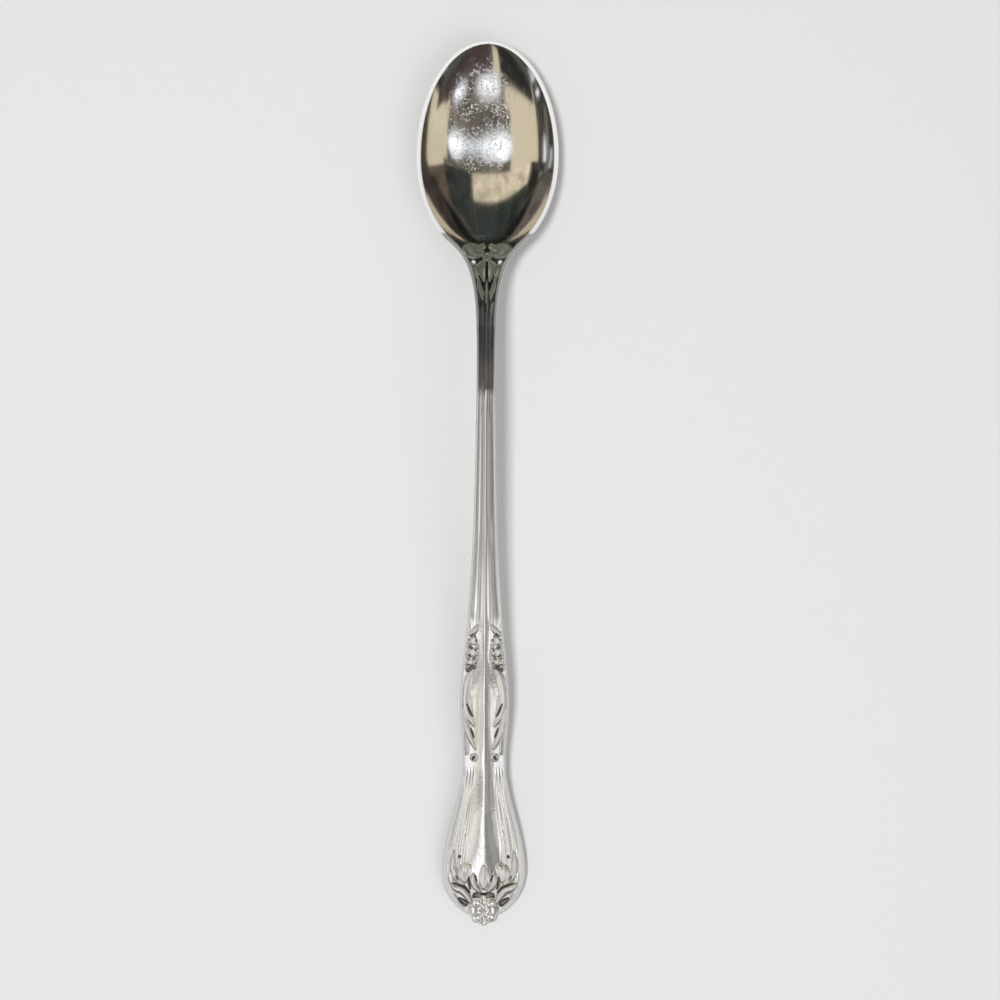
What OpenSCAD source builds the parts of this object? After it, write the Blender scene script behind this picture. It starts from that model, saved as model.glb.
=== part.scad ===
// Iced tea spoon, struck in one piece from steel and polished all over.
// Its regions are drawn as solids that meet face to face on flat cuts across the length.
// X runs across the spoon, Y along it with the bowl towards +Y, Z up from the table.
// Inside the functions, u is the distance back from the front of the bowl.

/* [Bowl] */

// Width over the rim
bowl_w = 30.1; // [26:0.2:36]
// Front of the rim back to the widest place
bowl_front_l = 24.2; // [20:0.1:30]
// Widest place back to where the rear oval would close
bowl_rear_l = 22; // [18:0.1:28]
// Widest place back to the cut at the root of the handle
bowl_back_l = 16.8; // [12:0.1:18]
// Widest place back to where the hollow has run out
hollow_back_l = 29.5; // [24:0.5:36]
// Depth of the hollow under the rim
bowl_depth = 6; // [4:0.1:9]
// Thickness of the metal under the deepest place
bowl_wall = 1.2; // [0.8:0.1:2]
// Width of the bright flat on top of the rim
rim_w = 0.8; // [0.6:0.05:1.4]
// Height of the rim's outer edge
rim_edge_h = 0.8; // [0.5:0.05:1.2]
// Rise of the rim from the widest place to the front
rim_front_rise = 0.4; // [0:0.1:2]
// Height of the rim at the root cut
root_h = 9.3; // [8:0.1:11]

/* [Neck] */

// Length of the neck from the root cut
neck_l = 20; // [16:0.5:26]
// Height of the edge line at the end of the neck
neck_h = 15.4; // [12:0.1:18]
// Thickness under the edge line where the neck is strongest
neck_t = 3; // [2:0.1:4]
// Length of the blossom and leaves struck at the root
blossom_l = 14; // [10:0.5:18]
// Root cut back to the start of the blossom
blossom_gap_l = 1.2; // [0.8:0.1:3]
// Rise of the blossom and leaves
blossom_rise = 0.35; // [0.15:0.05:0.6]

/* [Shank] */

// Length of the reeded shank
shank_l = 61.6; // [50:0.5:75]
// Start of the shank back to the top of the arch
arch_l = 13; // [8:0.5:20]
// Start of the shank back to its middle station
shank_mid_l = 38.5; // [30:0.5:45]
// Width at the start
shank_w = 3.8; // [3.2:0.1:5.5]
// Width at the middle station
shank_mid_w = 4.8; // [4:0.1:6.5]
// Height of the edge line at the top of the arch
arch_h = 16.8; // [13:0.1:20]
// Height of the edge line at the middle station
shank_mid_h = 15.1; // [11:0.1:18]
// Thickness under the edge line
shank_t = 2.2; // [1.6:0.1:3]
// Rise of the keel along the middle
keel_rise = 0.3; // [0.15:0.05:0.9]
// Width of the keel at its foot
keel_w = 1.3; // [0.8:0.1:2]
// Width of the thread left along each edge
thread_w = 0.5; // [0.3:0.05:0.8]
// Depth of the struck lines between the threads
line_depth = 0.2; // [0.08:0.02:0.3]

/* [Knop] */

// Length of the knop
knop_l = 30; // [24:0.5:36]
// Start of the knop back to its widest place
knop_wide_l = 17.5; // [14:0.5:22]
// Width at the start
knop_start_w = 7.4; // [6.5:0.1:10]
// Width at the widest place
knop_w = 10.4; // [9:0.1:13]
// Height of the edge line at the start
knop_h = 11.6; // [9:0.1:14]
// Rise of the spindle at its fullest
spindle_rise = 1; // [0.5:0.05:1.5]
// Width of the spindle at its fullest
spindle_w = 6; // [4:0.1:7.5]
// Rise of the berries and leaves beside the spindle
leaf_rise = 0.3; // [0.2:0.05:0.7]
// Depth of the drilled eyes and slits
pit_depth = 0.35; // [0.15:0.05:0.6]

/* [Panel] */

// Length of the panel from the waist to the widest place
panel_l = 23.5; // [18:0.5:30]
// Width at the waist
waist_w = 9.1; // [7.5:0.1:11]
// Width at the widest place
panel_w = 17.8; // [15:0.1:21]
// Height of the edge line at the waist
waist_h = 6; // [4.5:0.1:8]
// Thickness under the edge line
panel_t = 2; // [1.5:0.1:2.8]
// Rise of the medial panel at its fullest
medial_rise = 0.85; // [0.4:0.05:1.2]
// Width of the medial panel at its fullest
medial_w = 7; // [5:0.1:9]
// Width of the thread left along each edge of the panel
panel_thread_w = 1.1; // [0.5:0.05:1.5]

/* [Tip] */

// Widest place of the panel to the end of the spoon
tip_l = 11.9; // [10:0.1:14]
// Height of the edge line at the widest place
tip_start_h = 2.9; // [2.5:0.1:4]
// Height of the edge line at the end
tip_h = 2.2; // [1.8:0.1:3]
// Thickness under the edge line, measured before the foot is ground flat
tip_t = 2.45; // [2.2:0.05:3]
// Widest place back to where the end oval would close
tip_oval_l = 10.2; // [9:0.1:11]
// Diameter of the rosette over its petals
rosette_d = 6.6; // [5:0.1:8]
// Depth of the scallops between the petals
scallop_depth = 0.3; // [0.1:0.05:0.5]
// Length of the carved end, measured from the end of the spoon
crest_l = 16; // [13:0.5:20]
// Rise of the curls, palmette and petals
crest_rise = 0.36; // [0.2:0.02:0.8]

/* [Hidden] */

// Round of the top and outer edges
chamfer_w = 0.25;
// Height of the outer edge along the handle
edge_h = 1.1;
// Small step for slopes
step_l = 0.01;

// Stations measured back from the front of the bowl
wide_u = bowl_front_l;
root_u = wide_u + bowl_back_l;
shank_u = root_u + neck_l;
knop_u = shank_u + shank_l;
waist_u = knop_u + knop_l;
panel_u = waist_u + panel_l;
spoon_l = panel_u + tip_l;
rosette_u = spoon_l - rosette_d / 2;
rim_h = bowl_depth + bowl_wall;

// Places along the handle, as shares of the part they lie in
join_share = 0.858;
keel_end_share = 0.22;
spindle_high_share = 0.55;
medial_wide_share = 0.6;
medial_high_share = 0.5;
neck_line_share = 0.33;
knop_line_share = 0.17;
panel_line_share = 0.25;

// Half widths of the ridge, as shares of the keel, the spindle and the medial panel
keel_mid_share = 0.6;
keel_wide_share = 0.8;
waist_ridge_share = 0.28;
end_ridge_share = 0.4;

// How round the ridge is across, how strong the struck lines are at the waist, the rosette's parts, and
// how far ornament may spill past the length it is laid out on
round_share = 0.5;
waist_line_share = 0.45;
petal_share = 0.125;
spill_share = 0.1;
eye_share = 0.17;
petal_count = 8;

// Powers of the curves across the bowl and the back, and of the belly's end under the rosette
bowl_power = 2.3;
hollow_power = 1.5;
shank_power = 3;
panel_power = 5;
foot_power = 8;

// Rows of points along each part, and halvings in the search for a meeting place
front_rows = 16;
rear_rows = 12;
neck_rows = 24;
shank_rows = 22;
knop_rows = 36;
panel_rows = 20;
oval_rows = 14;
end_rows = 10;
halvings = 24;

// Knots are [station, value, slope]; the slope is the smooth one that never overshoots
function rate(k, i) = (k[i + 1][1] - k[i][1]) / (k[i + 1][0] - k[i][0]);
function inner_slope(k, i) =
    let (a = rate(k, i - 1), b = rate(k, i))
    let (ha = k[i][0] - k[i - 1][0], hb = k[i + 1][0] - k[i][0])
    a * b <= 0 ? 0 : 3 * (ha + hb) / ((2 * hb + ha) / a + (hb + 2 * ha) / b);
function knots(k) =
    [for (i = [0 : len(k) - 1])
        [k[i][0], k[i][1], i == 0 || i == len(k) - 1 ? 0 : inner_slope(k, i)]];
function blend(a, b, u) =
    let (h = b[0] - a[0], t = (u - a[0]) / h)
    a[1] * (2 * t * t * t - 3 * t * t + 1) + h * a[2] * t * (1 - t) * (1 - t)
    + b[1] * (3 * t * t - 2 * t * t * t) + h * b[2] * t * t * (t - 1);
function along(k, u) =
    u <= k[0][0] ? k[0][1]
    : u >= k[len(k) - 1][0] ? k[len(k) - 1][1]
    : let (i = max([for (j = [0 : len(k) - 2]) if (k[j][0] <= u) j]))
      blend(k[i], k[i + 1], u);

// Straight lines between [share, height] points
function look(k, s) =
    let (i = max([for (j = [0 : len(k) - 2]) if (k[j][0] <= s) j]))
    k[i][1] + (k[i + 1][1] - k[i][1]) * min(1, (s - k[i][0]) / (k[i + 1][0] - k[i][0]));

// Side view: height of the edge line and thickness under it
edge_line = knots([
    [0, rim_h + rim_front_rise],
    [wide_u, rim_h],
    [root_u, root_h],
    [shank_u, neck_h],
    [shank_u + arch_l, arch_h],
    [shank_u + shank_mid_l, shank_mid_h],
    [knop_u, knop_h],
    [waist_u, waist_h],
    [panel_u, tip_start_h],
    [spoon_l, tip_h]
]);
under_line = knots([
    [root_u, bowl_wall],
    [(root_u + shank_u) / 2, neck_t],
    [shank_u + arch_l, shank_t],
    [waist_u, panel_t],
    [(waist_u + panel_u) / 2, panel_t],
    [rosette_u, tip_t]
]);
outer_edge = knots([[wide_u, rim_edge_h], [shank_u, edge_h]]);

// Plan view: half the width of the handle, and the width of its edge thread
handle_line = knots([
    [shank_u, shank_w / 2],
    [shank_u + shank_mid_l, shank_mid_w / 2],
    [knop_u, knop_start_w / 2],
    [knop_u + knop_wide_l, knop_w / 2],
    [waist_u, waist_w / 2],
    [panel_u, panel_w / 2]
]);
thread_line = knots([
    [wide_u, rim_w],
    [root_u, rim_w],
    [shank_u, thread_w],
    [waist_u, thread_w],
    [panel_u, panel_thread_w]
]);

// The rear oval runs into the neck on a curve that keeps its slope at the join
join_u = wide_u + bowl_rear_l * join_share;
join_half = bowl_w / 2 * sqrt(1 - join_share * join_share);
join_slope = bowl_w / 2 / bowl_rear_l * join_share / sqrt(1 - join_share * join_share);
flare = join_half - shank_w / 2;
function half_w(u) =
    u <= join_u ? bowl_w / 2 * sqrt(1 - pow((u - wide_u) / bowl_rear_l, 2))
    : along(handle_line, u) + flare * exp(-(u - join_u) * join_slope / flare);
function slope(u) = (half_w(u + step_l) - half_w(u - step_l)) / (2 * step_l);

// Across the back: a round belly under the bowl turning to a flatter back on the handle
back_power = knots([[shank_u, bowl_power], [knop_u, shank_power], [panel_u, panel_power]]);
function hollow(u) = u >= wide_u + hollow_back_l ? 0
    : pow(1 - pow((u - wide_u) / hollow_back_l, 2), hollow_power);
function front(u, start) = 1 - pow(abs((wide_u - u) / (wide_u - start)), bowl_power);
function belly(u) =
    u <= wide_u ? (rim_h - rim_edge_h) * front(u, 0)
    : (rim_h - along(outer_edge, u)) * hollow(u)
      + (along(under_line, u) - along(outer_edge, u)) * (1 - hollow(u));
function back_z(u, s, share) =
    along(edge_line, u) - along(outer_edge, u)
    - share * belly(u) * (1 - pow(abs(s), along(back_power, u)));

// Keel, spindle and medial panel: one ridge whose width and rise change along the handle
ridge_line = knots([
    [root_u + blossom_gap_l, keel_w / 2],
    [shank_u + shank_mid_l, keel_w * keel_mid_share],
    [knop_u + knop_l * keel_end_share, keel_w * keel_wide_share],
    [knop_u + knop_l * spindle_high_share, spindle_w / 2],
    [waist_u, spindle_w * waist_ridge_share],
    [waist_u + panel_l * medial_wide_share, medial_w / 2],
    [panel_u, medial_w * end_ridge_share],
    [spoon_l - rosette_d, keel_w / 2]
]);
rise_line = knots([
    [root_u + blossom_l, 0],
    [shank_u + arch_l, keel_rise],
    [knop_u, keel_rise],
    [knop_u + knop_l * spindle_high_share, spindle_rise],
    [waist_u, keel_rise],
    [waist_u + panel_l * medial_high_share, medial_rise],
    [spoon_l - rosette_d, 0]
]);
function ridge(u, x) =
    let (q = min(1, abs(x) / along(ridge_line, u)))
    along(rise_line, u) * (1 - q * (1 - round_share) - q * q * round_share);

// Struck lines across half the width, as [share of the half width, depth share]
shank_line_shares = [[0, 0], [0.3, -0.5], [0.4, -1], [0.5, 0.2], [0.62, -0.7], [0.86, -1], [1, 0]];
panel_line_shares = [
    [0, 0], [0.44, 0], [0.52, -0.6], [0.6, 0.1], [0.66, -0.5], [0.74, 0.15], [0.82, -0.6], [0.9, 0.1],
    [0.96, -0.8], [1, 0]
];
shank_fade = knots([
    [shank_u - neck_l * neck_line_share, 0],
    [shank_u, 1],
    [knop_u - knop_l * knop_line_share, 1],
    [knop_u, 0]
]);
panel_fade = knots([
    [waist_u - knop_l * knop_line_share, 0],
    [waist_u, waist_line_share],
    [waist_u + panel_l * panel_line_share, 1],
    [panel_u, 1],
    [spoon_l - rosette_d, 0]
]);
function lines(u, s) =
    line_depth * (along(shank_fade, u) * look(shank_line_shares, abs(s))
    + along(panel_fade, u) * look(panel_line_shares, abs(s)));

// Raised ornament: each leaf is a spine of [across, along, half width] in shares of its own length
blossom_shares = [
    [[0, 0.26, 0.075]],
    [[0.08, 0.21, 0.045], [0.15, 0.18, 0.11], [0.235, 0.17, 0.13], [0.3, 0.14, 0.07]],
    [[0.06, 0.09, 0.05], [0.12, 0.13, 0.07]],
    [[0.2, 0.375, 0.045]],
    [[0.055, 0.35, 0.04], [0.1, 0.43, 0.078], [0.09, 0.52, 0.068], [0.045, 0.64, 0.026]],
    [[0.185, 0.45, 0.022], [0.16, 0.54, 0.034], [0.125, 0.65, 0.016]],
    [[0.125, 0.6, 0.018], [0.105, 0.7, 0.042], [0.075, 0.82, 0.04], [0.06, 0.93, 0.014]]
];
knop_shares = [
    [[0.056, 0.05, 0.02], [0.08, 0.09, 0.028]],
    [[0.08, 0.135, 0.03]],
    [[0.086, 0.215, 0.032]],
    [[0.092, 0.285, 0.03]],
    [[0.112, 0.155, 0.02]],
    [[0.126, 0.235, 0.021]],
    [[0.134, 0.31, 0.021]],
    [[0.055, 0.2, 0.017]],
    [[0.06, 0.27, 0.016]],
    [[0.085, 0.33, 0.014], [0.125, 0.44, 0.034], [0.134, 0.55, 0.036], [0.115, 0.66, 0.028],
        [0.07, 0.74, 0.012]],
    [[0.148, 0.64, 0.01], [0.13, 0.74, 0.024], [0.062, 0.9, 0.012]],
    [[0.072, 0.967, 0.028]]
];
knop_pit_shares = [
    [[0.082, 0.09, 0.012]],
    [[0.058, 0.133, 0.012]],
    [[0.1, 0.18, 0.012]],
    [[0.09, 0.255, 0.012], [0.112, 0.33, 0.016]],
    [[0.122, 0.587, 0.007], [0.082, 0.67, 0.009]],
    [[0.096, 0.76, 0.007], [0.072, 0.823, 0.009]],
    [[0.075, 0.967, 0.011]]
];
crest_shares = [
    [[0, 0.2, 0.03], [0, 0.29, 0.062], [0, 0.39, 0.07], [0, 0.48, 0.04]],
    [[0.06, 0.53, 0.03], [0.115, 0.47, 0.045], [0.145, 0.39, 0.045], [0.14, 0.31, 0.02]],
    [[0.2, 0.2, 0.04], [0.25, 0.25, 0.085], [0.27, 0.33, 0.07], [0.25, 0.4, 0.03]],
    [[0.4, 0.02, 0.016], [0.41, 0.2, 0.042], [0.375, 0.35, 0.05], [0.29, 0.45, 0.035]],
    [[0.43, 0.46, 0.03], [0.37, 0.51, 0.05], [0.285, 0.54, 0.055], [0.22, 0.61, 0.05], [0.17, 0.68, 0.03]]
];
crest_pit_shares = [
    [[0.325, 0.07, 0.02]],
    [[0.36, 0.35, 0.018]],
    [[0.2, 0.35, 0.01], [0.195, 0.43, 0.018], [0.18, 0.5, 0.012]],
    [[0.4, 0.43, 0.01], [0.25, 0.49, 0.016], [0.19, 0.55, 0.012]],
    [[0, 0.6, 0.035], [0.1, 0.59, 0.034]],
    [[0.26, 0.7, 0.046], [0.32, 0.65, 0.026]]
];

// Height share of a rounded swelling between two stations of a spine
function swell(p, a, b) =
    let (d = [b[0] - a[0], b[1] - a[1]], q = [p[0] - a[0], p[1] - a[1]])
    let (t = a == b ? 0 : max(0, min(1, q * d / (d * d))))
    let (r = norm(q - d * t) / (a[2] + (b[2] - a[2]) * t))
    r >= 1 ? 0 : 1 - r * r;
function leaf(p, spine) =
    max([for (i = [0 : max(0, len(spine) - 2)]) swell(p, spine[i], spine[min(i + 1, len(spine) - 1)])]);
function carving(table, start, length, u, x) =
    let (p = [abs(x) / length, (u - start) / length])
    p[1] < -spill_share || p[1] > 1 + spill_share ? 0 : max([for (spine = table) leaf(p, spine)]);
function rosette(u, x) =
    let (a = round(atan2(x, u - rosette_u) * petal_count / 360) * 360 / petal_count)
    let (petal_r = rosette_d * petal_share, ring_r = rosette_d / 2 - petal_r)
    let (petal = norm([x - ring_r * sin(a), u - rosette_u - ring_r * cos(a)]) / petal_r)
    let (eye = norm([x, u - rosette_u]) / (rosette_d * eye_share))
    max(0, 1 - petal * petal, 1 - eye * eye);
function ornament(u, x) =
    blossom_rise * carving(blossom_shares, root_u + blossom_gap_l, blossom_l, u, x)
    + leaf_rise * carving(knop_shares, knop_u, knop_l, u, x)
    - pit_depth * carving(knop_pit_shares, knop_u, knop_l, u, x)
    + crest_rise * carving(crest_shares, spoon_l - crest_l, crest_l, u, x)
    - pit_depth * carving(crest_pit_shares, spoon_l - crest_l, crest_l, u, x)
    + crest_rise * rosette(u, x);

// Top face: the hollow of the bowl, then the ridge, the struck lines and the ornament
function top_z(u, s, x) =
    along(edge_line, u)
    - bowl_depth * (u <= wide_u ? front(u, rim_w) : hollow(u)) * (1 - pow(abs(s), bowl_power))
    + (u <= root_u ? 0 : ridge(u, x) + lines(u, s) + ornament(u, x));

// One section: outer edge point, inner edge point and the share of the belly that is left
function section(outer, inner, share, tops) =
    let (n = len(tops) - 1, side = inner + (outer - inner) * (1 - chamfer_w / norm(outer - inner)))
    concat(
        [for (s = tops) [s * inner[0], spoon_l / 2 - inner[1], top_z(inner[1], s, s * inner[0])]],
        [[side[0], spoon_l / 2 - side[1], along(edge_line, side[1])]],
        [[outer[0], spoon_l / 2 - outer[1], along(edge_line, outer[1]) - chamfer_w]],
        [for (j = [n : -2 : 0])
            [tops[j] * outer[0], spoon_l / 2 - outer[1], back_z(outer[1], tops[j], share)]],
        [[-outer[0], spoon_l / 2 - outer[1], along(edge_line, outer[1]) - chamfer_w]],
        [[-side[0], spoon_l / 2 - side[1], along(edge_line, side[1])]]
    );
function flat_section(u, tops) =
    let (inset = along(thread_line, u) * sqrt(1 + slope(u) * slope(u)))
    section([half_w(u), u], [half_w(u) - inset, u], 1, tops);

// Skin over a row of sections, with flat ends where they are wanted
function strip(n, m, row, forward) =
    let (bottom = row + n + 3, ratio = n / m)
    let (list = concat(
        [for (j = [0 : n - 1]) [row + j + 1, row + j, bottom + m - floor(j / ratio)]],
        [for (k = [0 : m - 1]) [row + (k + 1) * ratio, bottom + m - k, bottom + m - k - 1]],
        [[row + n, bottom, row + n + 2], [row + n, row + n + 2, row + n + 1]],
        [[row, bottom + m + 1, bottom + m], [row, bottom + m + 2, bottom + m + 1]]
    ))
    forward ? list : [for (f = list) [f[0], f[2], f[1]]];
module skin(rows, tops, start_flat, end_flat) {
    n = len(tops) - 1;
    size = len(rows[0]);
    points = [for (row = rows) each row];
    sides = [for (i = [0 : len(rows) - 2], j = [0 : size - 1])
        let (a = i * size + j, b = i * size + (j + 1) % size)
        each [[a, b, b + size], [a, b + size, a + size]]];
    ends = concat(
        start_flat ? strip(n, n / 2, 0, true) : [],
        end_flat ? strip(n, n / 2, (len(rows) - 1) * size, false) : []
    );
    faces = [for (f = concat(sides, ends))
        if (points[f[0]] != points[f[1]] && points[f[1]] != points[f[2]] && points[f[2]] != points[f[0]]) f];
    polyhedron(points = points, faces = faces);
}

// Shares across half a section, and a row of stations
function both(half) = concat([for (i = [len(half) - 1 : -1 : 1]) -half[i]], half);
function row_of(start, end, count) = [for (i = [0 : count]) start + (end - start) * i / count];
bowl_tops = both([0, 0.14, 0.28, 0.42, 0.55, 0.67, 0.78, 0.87, 0.94, 1]);
shank_tops = both([0, 0.16, 0.32, 0.4, 0.5, 0.62, 0.86, 1]);
carved_tops = both([0, 0.08, 0.16, 0.24, 0.32, 0.4, 0.47, 0.54, 0.61, 0.68, 0.75, 0.82, 0.88, 0.94, 1]);
panel_tops = both([0, 0.1, 0.2, 0.3, 0.4, 0.46, 0.52, 0.6, 0.66, 0.74, 0.82, 0.9, 0.96, 1]);

// Round end of the rosette, scalloped between its petals
function scalloped(a) = rosette_d / 2 - scallop_depth * (1 - cos(petal_count * (90 - a))) / 2;
function end_point(a, inset) =
    [(scalloped(a) - inset) * cos(a), rosette_u + (scalloped(a) - inset) * sin(a)];
function outside(p) = pow(p[0] / (panel_w / 2), 2) + pow((p[1] - panel_u) / tip_oval_l, 2) > 1;
function meet(low, high, tries) =
    let (a = (low + high) / 2)
    tries == 0 ? a : outside(end_point(a, 0)) ? meet(low, a, tries - 1) : meet(a, high, tries - 1);

// Bowl: an oval hollow whose front half closes on a point of the rim
module bowl() {
    front_part = [for (i = [0 : front_rows])
        let (a = 90 * i / front_rows, across = bowl_w / 2 * sin(a), back = wide_u - bowl_front_l * cos(a))
        let (way = [-bowl_front_l * sin(a), bowl_w / 2 * cos(a)])
        section([across, back], [across, back] + way * rim_w / norm(way), 1, bowl_tops)];
    rear_part = [for (u = row_of(wide_u, root_u, rear_rows)) if (u > wide_u) flat_section(u, bowl_tops)];
    color("Silver")
        skin(concat(front_part, rear_part), bowl_tops, false, true);
}

// One stretch of the handle between two flat cuts
module stretch(start, end, count, tops) {
    color("Silver")
        skin([for (u = row_of(start, end, count)) flat_section(u, tops)], tops, true, true);
}

// Neck: the rim lines draw in round a blossom and its leaves
module neck() {
    stretch(root_u, shank_u, neck_rows, carved_tops);
}

// Shank: keel, fine thread, flute and edge thread on each side
module shank() {
    stretch(shank_u, knop_u, shank_rows, shank_tops);
}

// Knop: a spindle between stacked berries and two leaves that curl in to a volute
module knop() {
    stretch(knop_u, waist_u, knop_rows, carved_tops);
}

// Panel: a raised medial panel between lines that follow the outline
module panel() {
    stretch(waist_u, panel_u, panel_rows, panel_tops);
}

// Tip: curls and a palmette over a scalloped rosette, with a ground foot underneath
module tip() {
    meet_a = meet(0, 90, halvings);
    corner = end_point(meet_a, 0);
    oval_a = atan2((corner[1] - panel_u) / tip_oval_l, corner[0] / (panel_w / 2));
    oval_part = [for (a = row_of(0, oval_a, oval_rows))
        let (outer = [panel_w / 2 * cos(a), panel_u + tip_oval_l * sin(a)])
        let (way = [-tip_oval_l * cos(a), -panel_w / 2 * sin(a)])
        section(outer, outer + way * panel_thread_w / norm(way), 1, carved_tops)];
    end_part = [for (a = row_of(meet_a, 90, end_rows))
        section(end_point(a, 0), end_point(a, panel_thread_w), 1 - pow(sin(a), foot_power), carved_tops)];
    color("Silver")
        difference() {
            skin(concat(oval_part, end_part), carved_tops, true, false);
            translate([-panel_w, -spoon_l / 2 - tip_l, -tip_h])
                cube([panel_w * 2, tip_l * 2, tip_h]);
        }
}

bowl();
neck();
shank();
knop();
panel();
tip();
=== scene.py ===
"""Iced tea spoon struck from one blank of steel: its forms, finish, stage and camera.

Lengths in the classes are millimetres, as a die sinker writes them, and become metres
when a mesh is made. The letter u is the distance back from the front of the bowl.
"""

import logging
import math
from dataclasses import dataclass, field
from enum import Enum

import bmesh
import bpy
import numpy as np
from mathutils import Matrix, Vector


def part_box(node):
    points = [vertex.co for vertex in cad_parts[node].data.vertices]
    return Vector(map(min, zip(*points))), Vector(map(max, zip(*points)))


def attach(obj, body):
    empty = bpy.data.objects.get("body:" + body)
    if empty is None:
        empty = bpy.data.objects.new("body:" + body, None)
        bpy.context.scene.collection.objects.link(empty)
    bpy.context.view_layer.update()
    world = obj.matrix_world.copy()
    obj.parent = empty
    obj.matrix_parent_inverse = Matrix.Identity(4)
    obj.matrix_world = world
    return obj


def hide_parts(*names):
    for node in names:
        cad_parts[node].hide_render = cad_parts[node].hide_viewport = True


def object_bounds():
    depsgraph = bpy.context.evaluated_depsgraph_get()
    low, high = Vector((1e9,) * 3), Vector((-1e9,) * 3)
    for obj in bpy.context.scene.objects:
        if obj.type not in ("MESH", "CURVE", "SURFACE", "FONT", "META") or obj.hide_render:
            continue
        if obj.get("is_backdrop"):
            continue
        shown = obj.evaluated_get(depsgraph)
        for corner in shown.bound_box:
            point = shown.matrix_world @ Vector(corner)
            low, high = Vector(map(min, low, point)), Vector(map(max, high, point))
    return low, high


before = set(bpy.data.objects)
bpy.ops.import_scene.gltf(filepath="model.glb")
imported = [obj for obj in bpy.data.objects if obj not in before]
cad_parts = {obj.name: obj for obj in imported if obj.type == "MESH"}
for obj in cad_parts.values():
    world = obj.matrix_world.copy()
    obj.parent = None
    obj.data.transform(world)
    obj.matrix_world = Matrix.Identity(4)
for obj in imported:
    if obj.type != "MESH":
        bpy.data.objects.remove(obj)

MM = 0.001
# Points of a mesh that lie closer than this, in metres, are one
MERGE_GAP = 1e-8
# Step, in millimetres, over which the slope of a line is read
SLOPE_STEP = 0.01
# Points round each small corner, and how far along a short side it may reach
CORNER_POINTS = 6
CORNER_SHARE = 0.6
# Vein and lip of a struck leaf, in shares of its height and half width
VEIN_DEPTH = 0.3
VEIN_W = 0.22
LIP_H = 0.4
LIP_AT = 0.72
LIP_W = 0.18
log = logging.getLogger("spoon")

Pair = tuple[float, float]
Triple = tuple[float, float, float]
Colour = tuple[float, float, float, float]


class Region(Enum):
    """The spoon's own regions, each packed as one node."""

    BOWL = "bowl"
    NECK = "neck"
    SHANK = "shank"
    KNOP = "knop"
    PANEL = "panel"
    TIP = "tip"


class Cut(Enum):
    """How a struck leaf rises or sinks across its width."""

    BEAD = "bead"
    VEINED = "veined"
    LIPPED = "lipped"
    DRILLED = "drilled"


class Line:
    """Smooth line through stations that never overshoots and is flat at both ends."""

    def __init__(self, *points: Pair) -> None:
        """Work out the slope at each station.

        Args:
            points: (station, value) pairs in rising order of station.
        """
        self.u = np.array([p[0] for p in points], float)
        self.v = np.array([p[1] for p in points], float)
        self.h = np.diff(self.u)
        rate = np.diff(self.v) / self.h
        self.slope = np.zeros(len(points))
        for i in range(1, len(points) - 1):
            before, after = rate[i - 1], rate[i]
            if before * after > 0:
                ha, hb = self.h[i - 1], self.h[i]
                weights = (2 * hb + ha) / before + (hb + 2 * ha) / after
                self.slope[i] = 3 * (ha + hb) / weights

    def __call__(self, u: np.ndarray) -> np.ndarray:
        """Value of the line, held level past its ends.

        Args:
            u: Stations.

        Returns:
            The value at each of them.
        """
        u = np.clip(u, self.u[0], self.u[-1])
        i = np.clip(np.searchsorted(self.u, u, side="right") - 1, 0, len(self.h) - 1)
        h = self.h[i]
        t = (u - self.u[i]) / h
        start = self.v[i] * (2 * t**3 - 3 * t**2 + 1) + h * self.slope[i] * t * (1 - t) ** 2
        return start + self.v[i + 1] * (3 * t**2 - 2 * t**3) + h * self.slope[i + 1] * t**2 * (t - 1)


def station(y: float, spoon_l: float) -> float:
    """Distance back from the bowl's front, in millimetres, of a frame y in metres."""
    return spoon_l / 2 - y / MM


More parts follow.
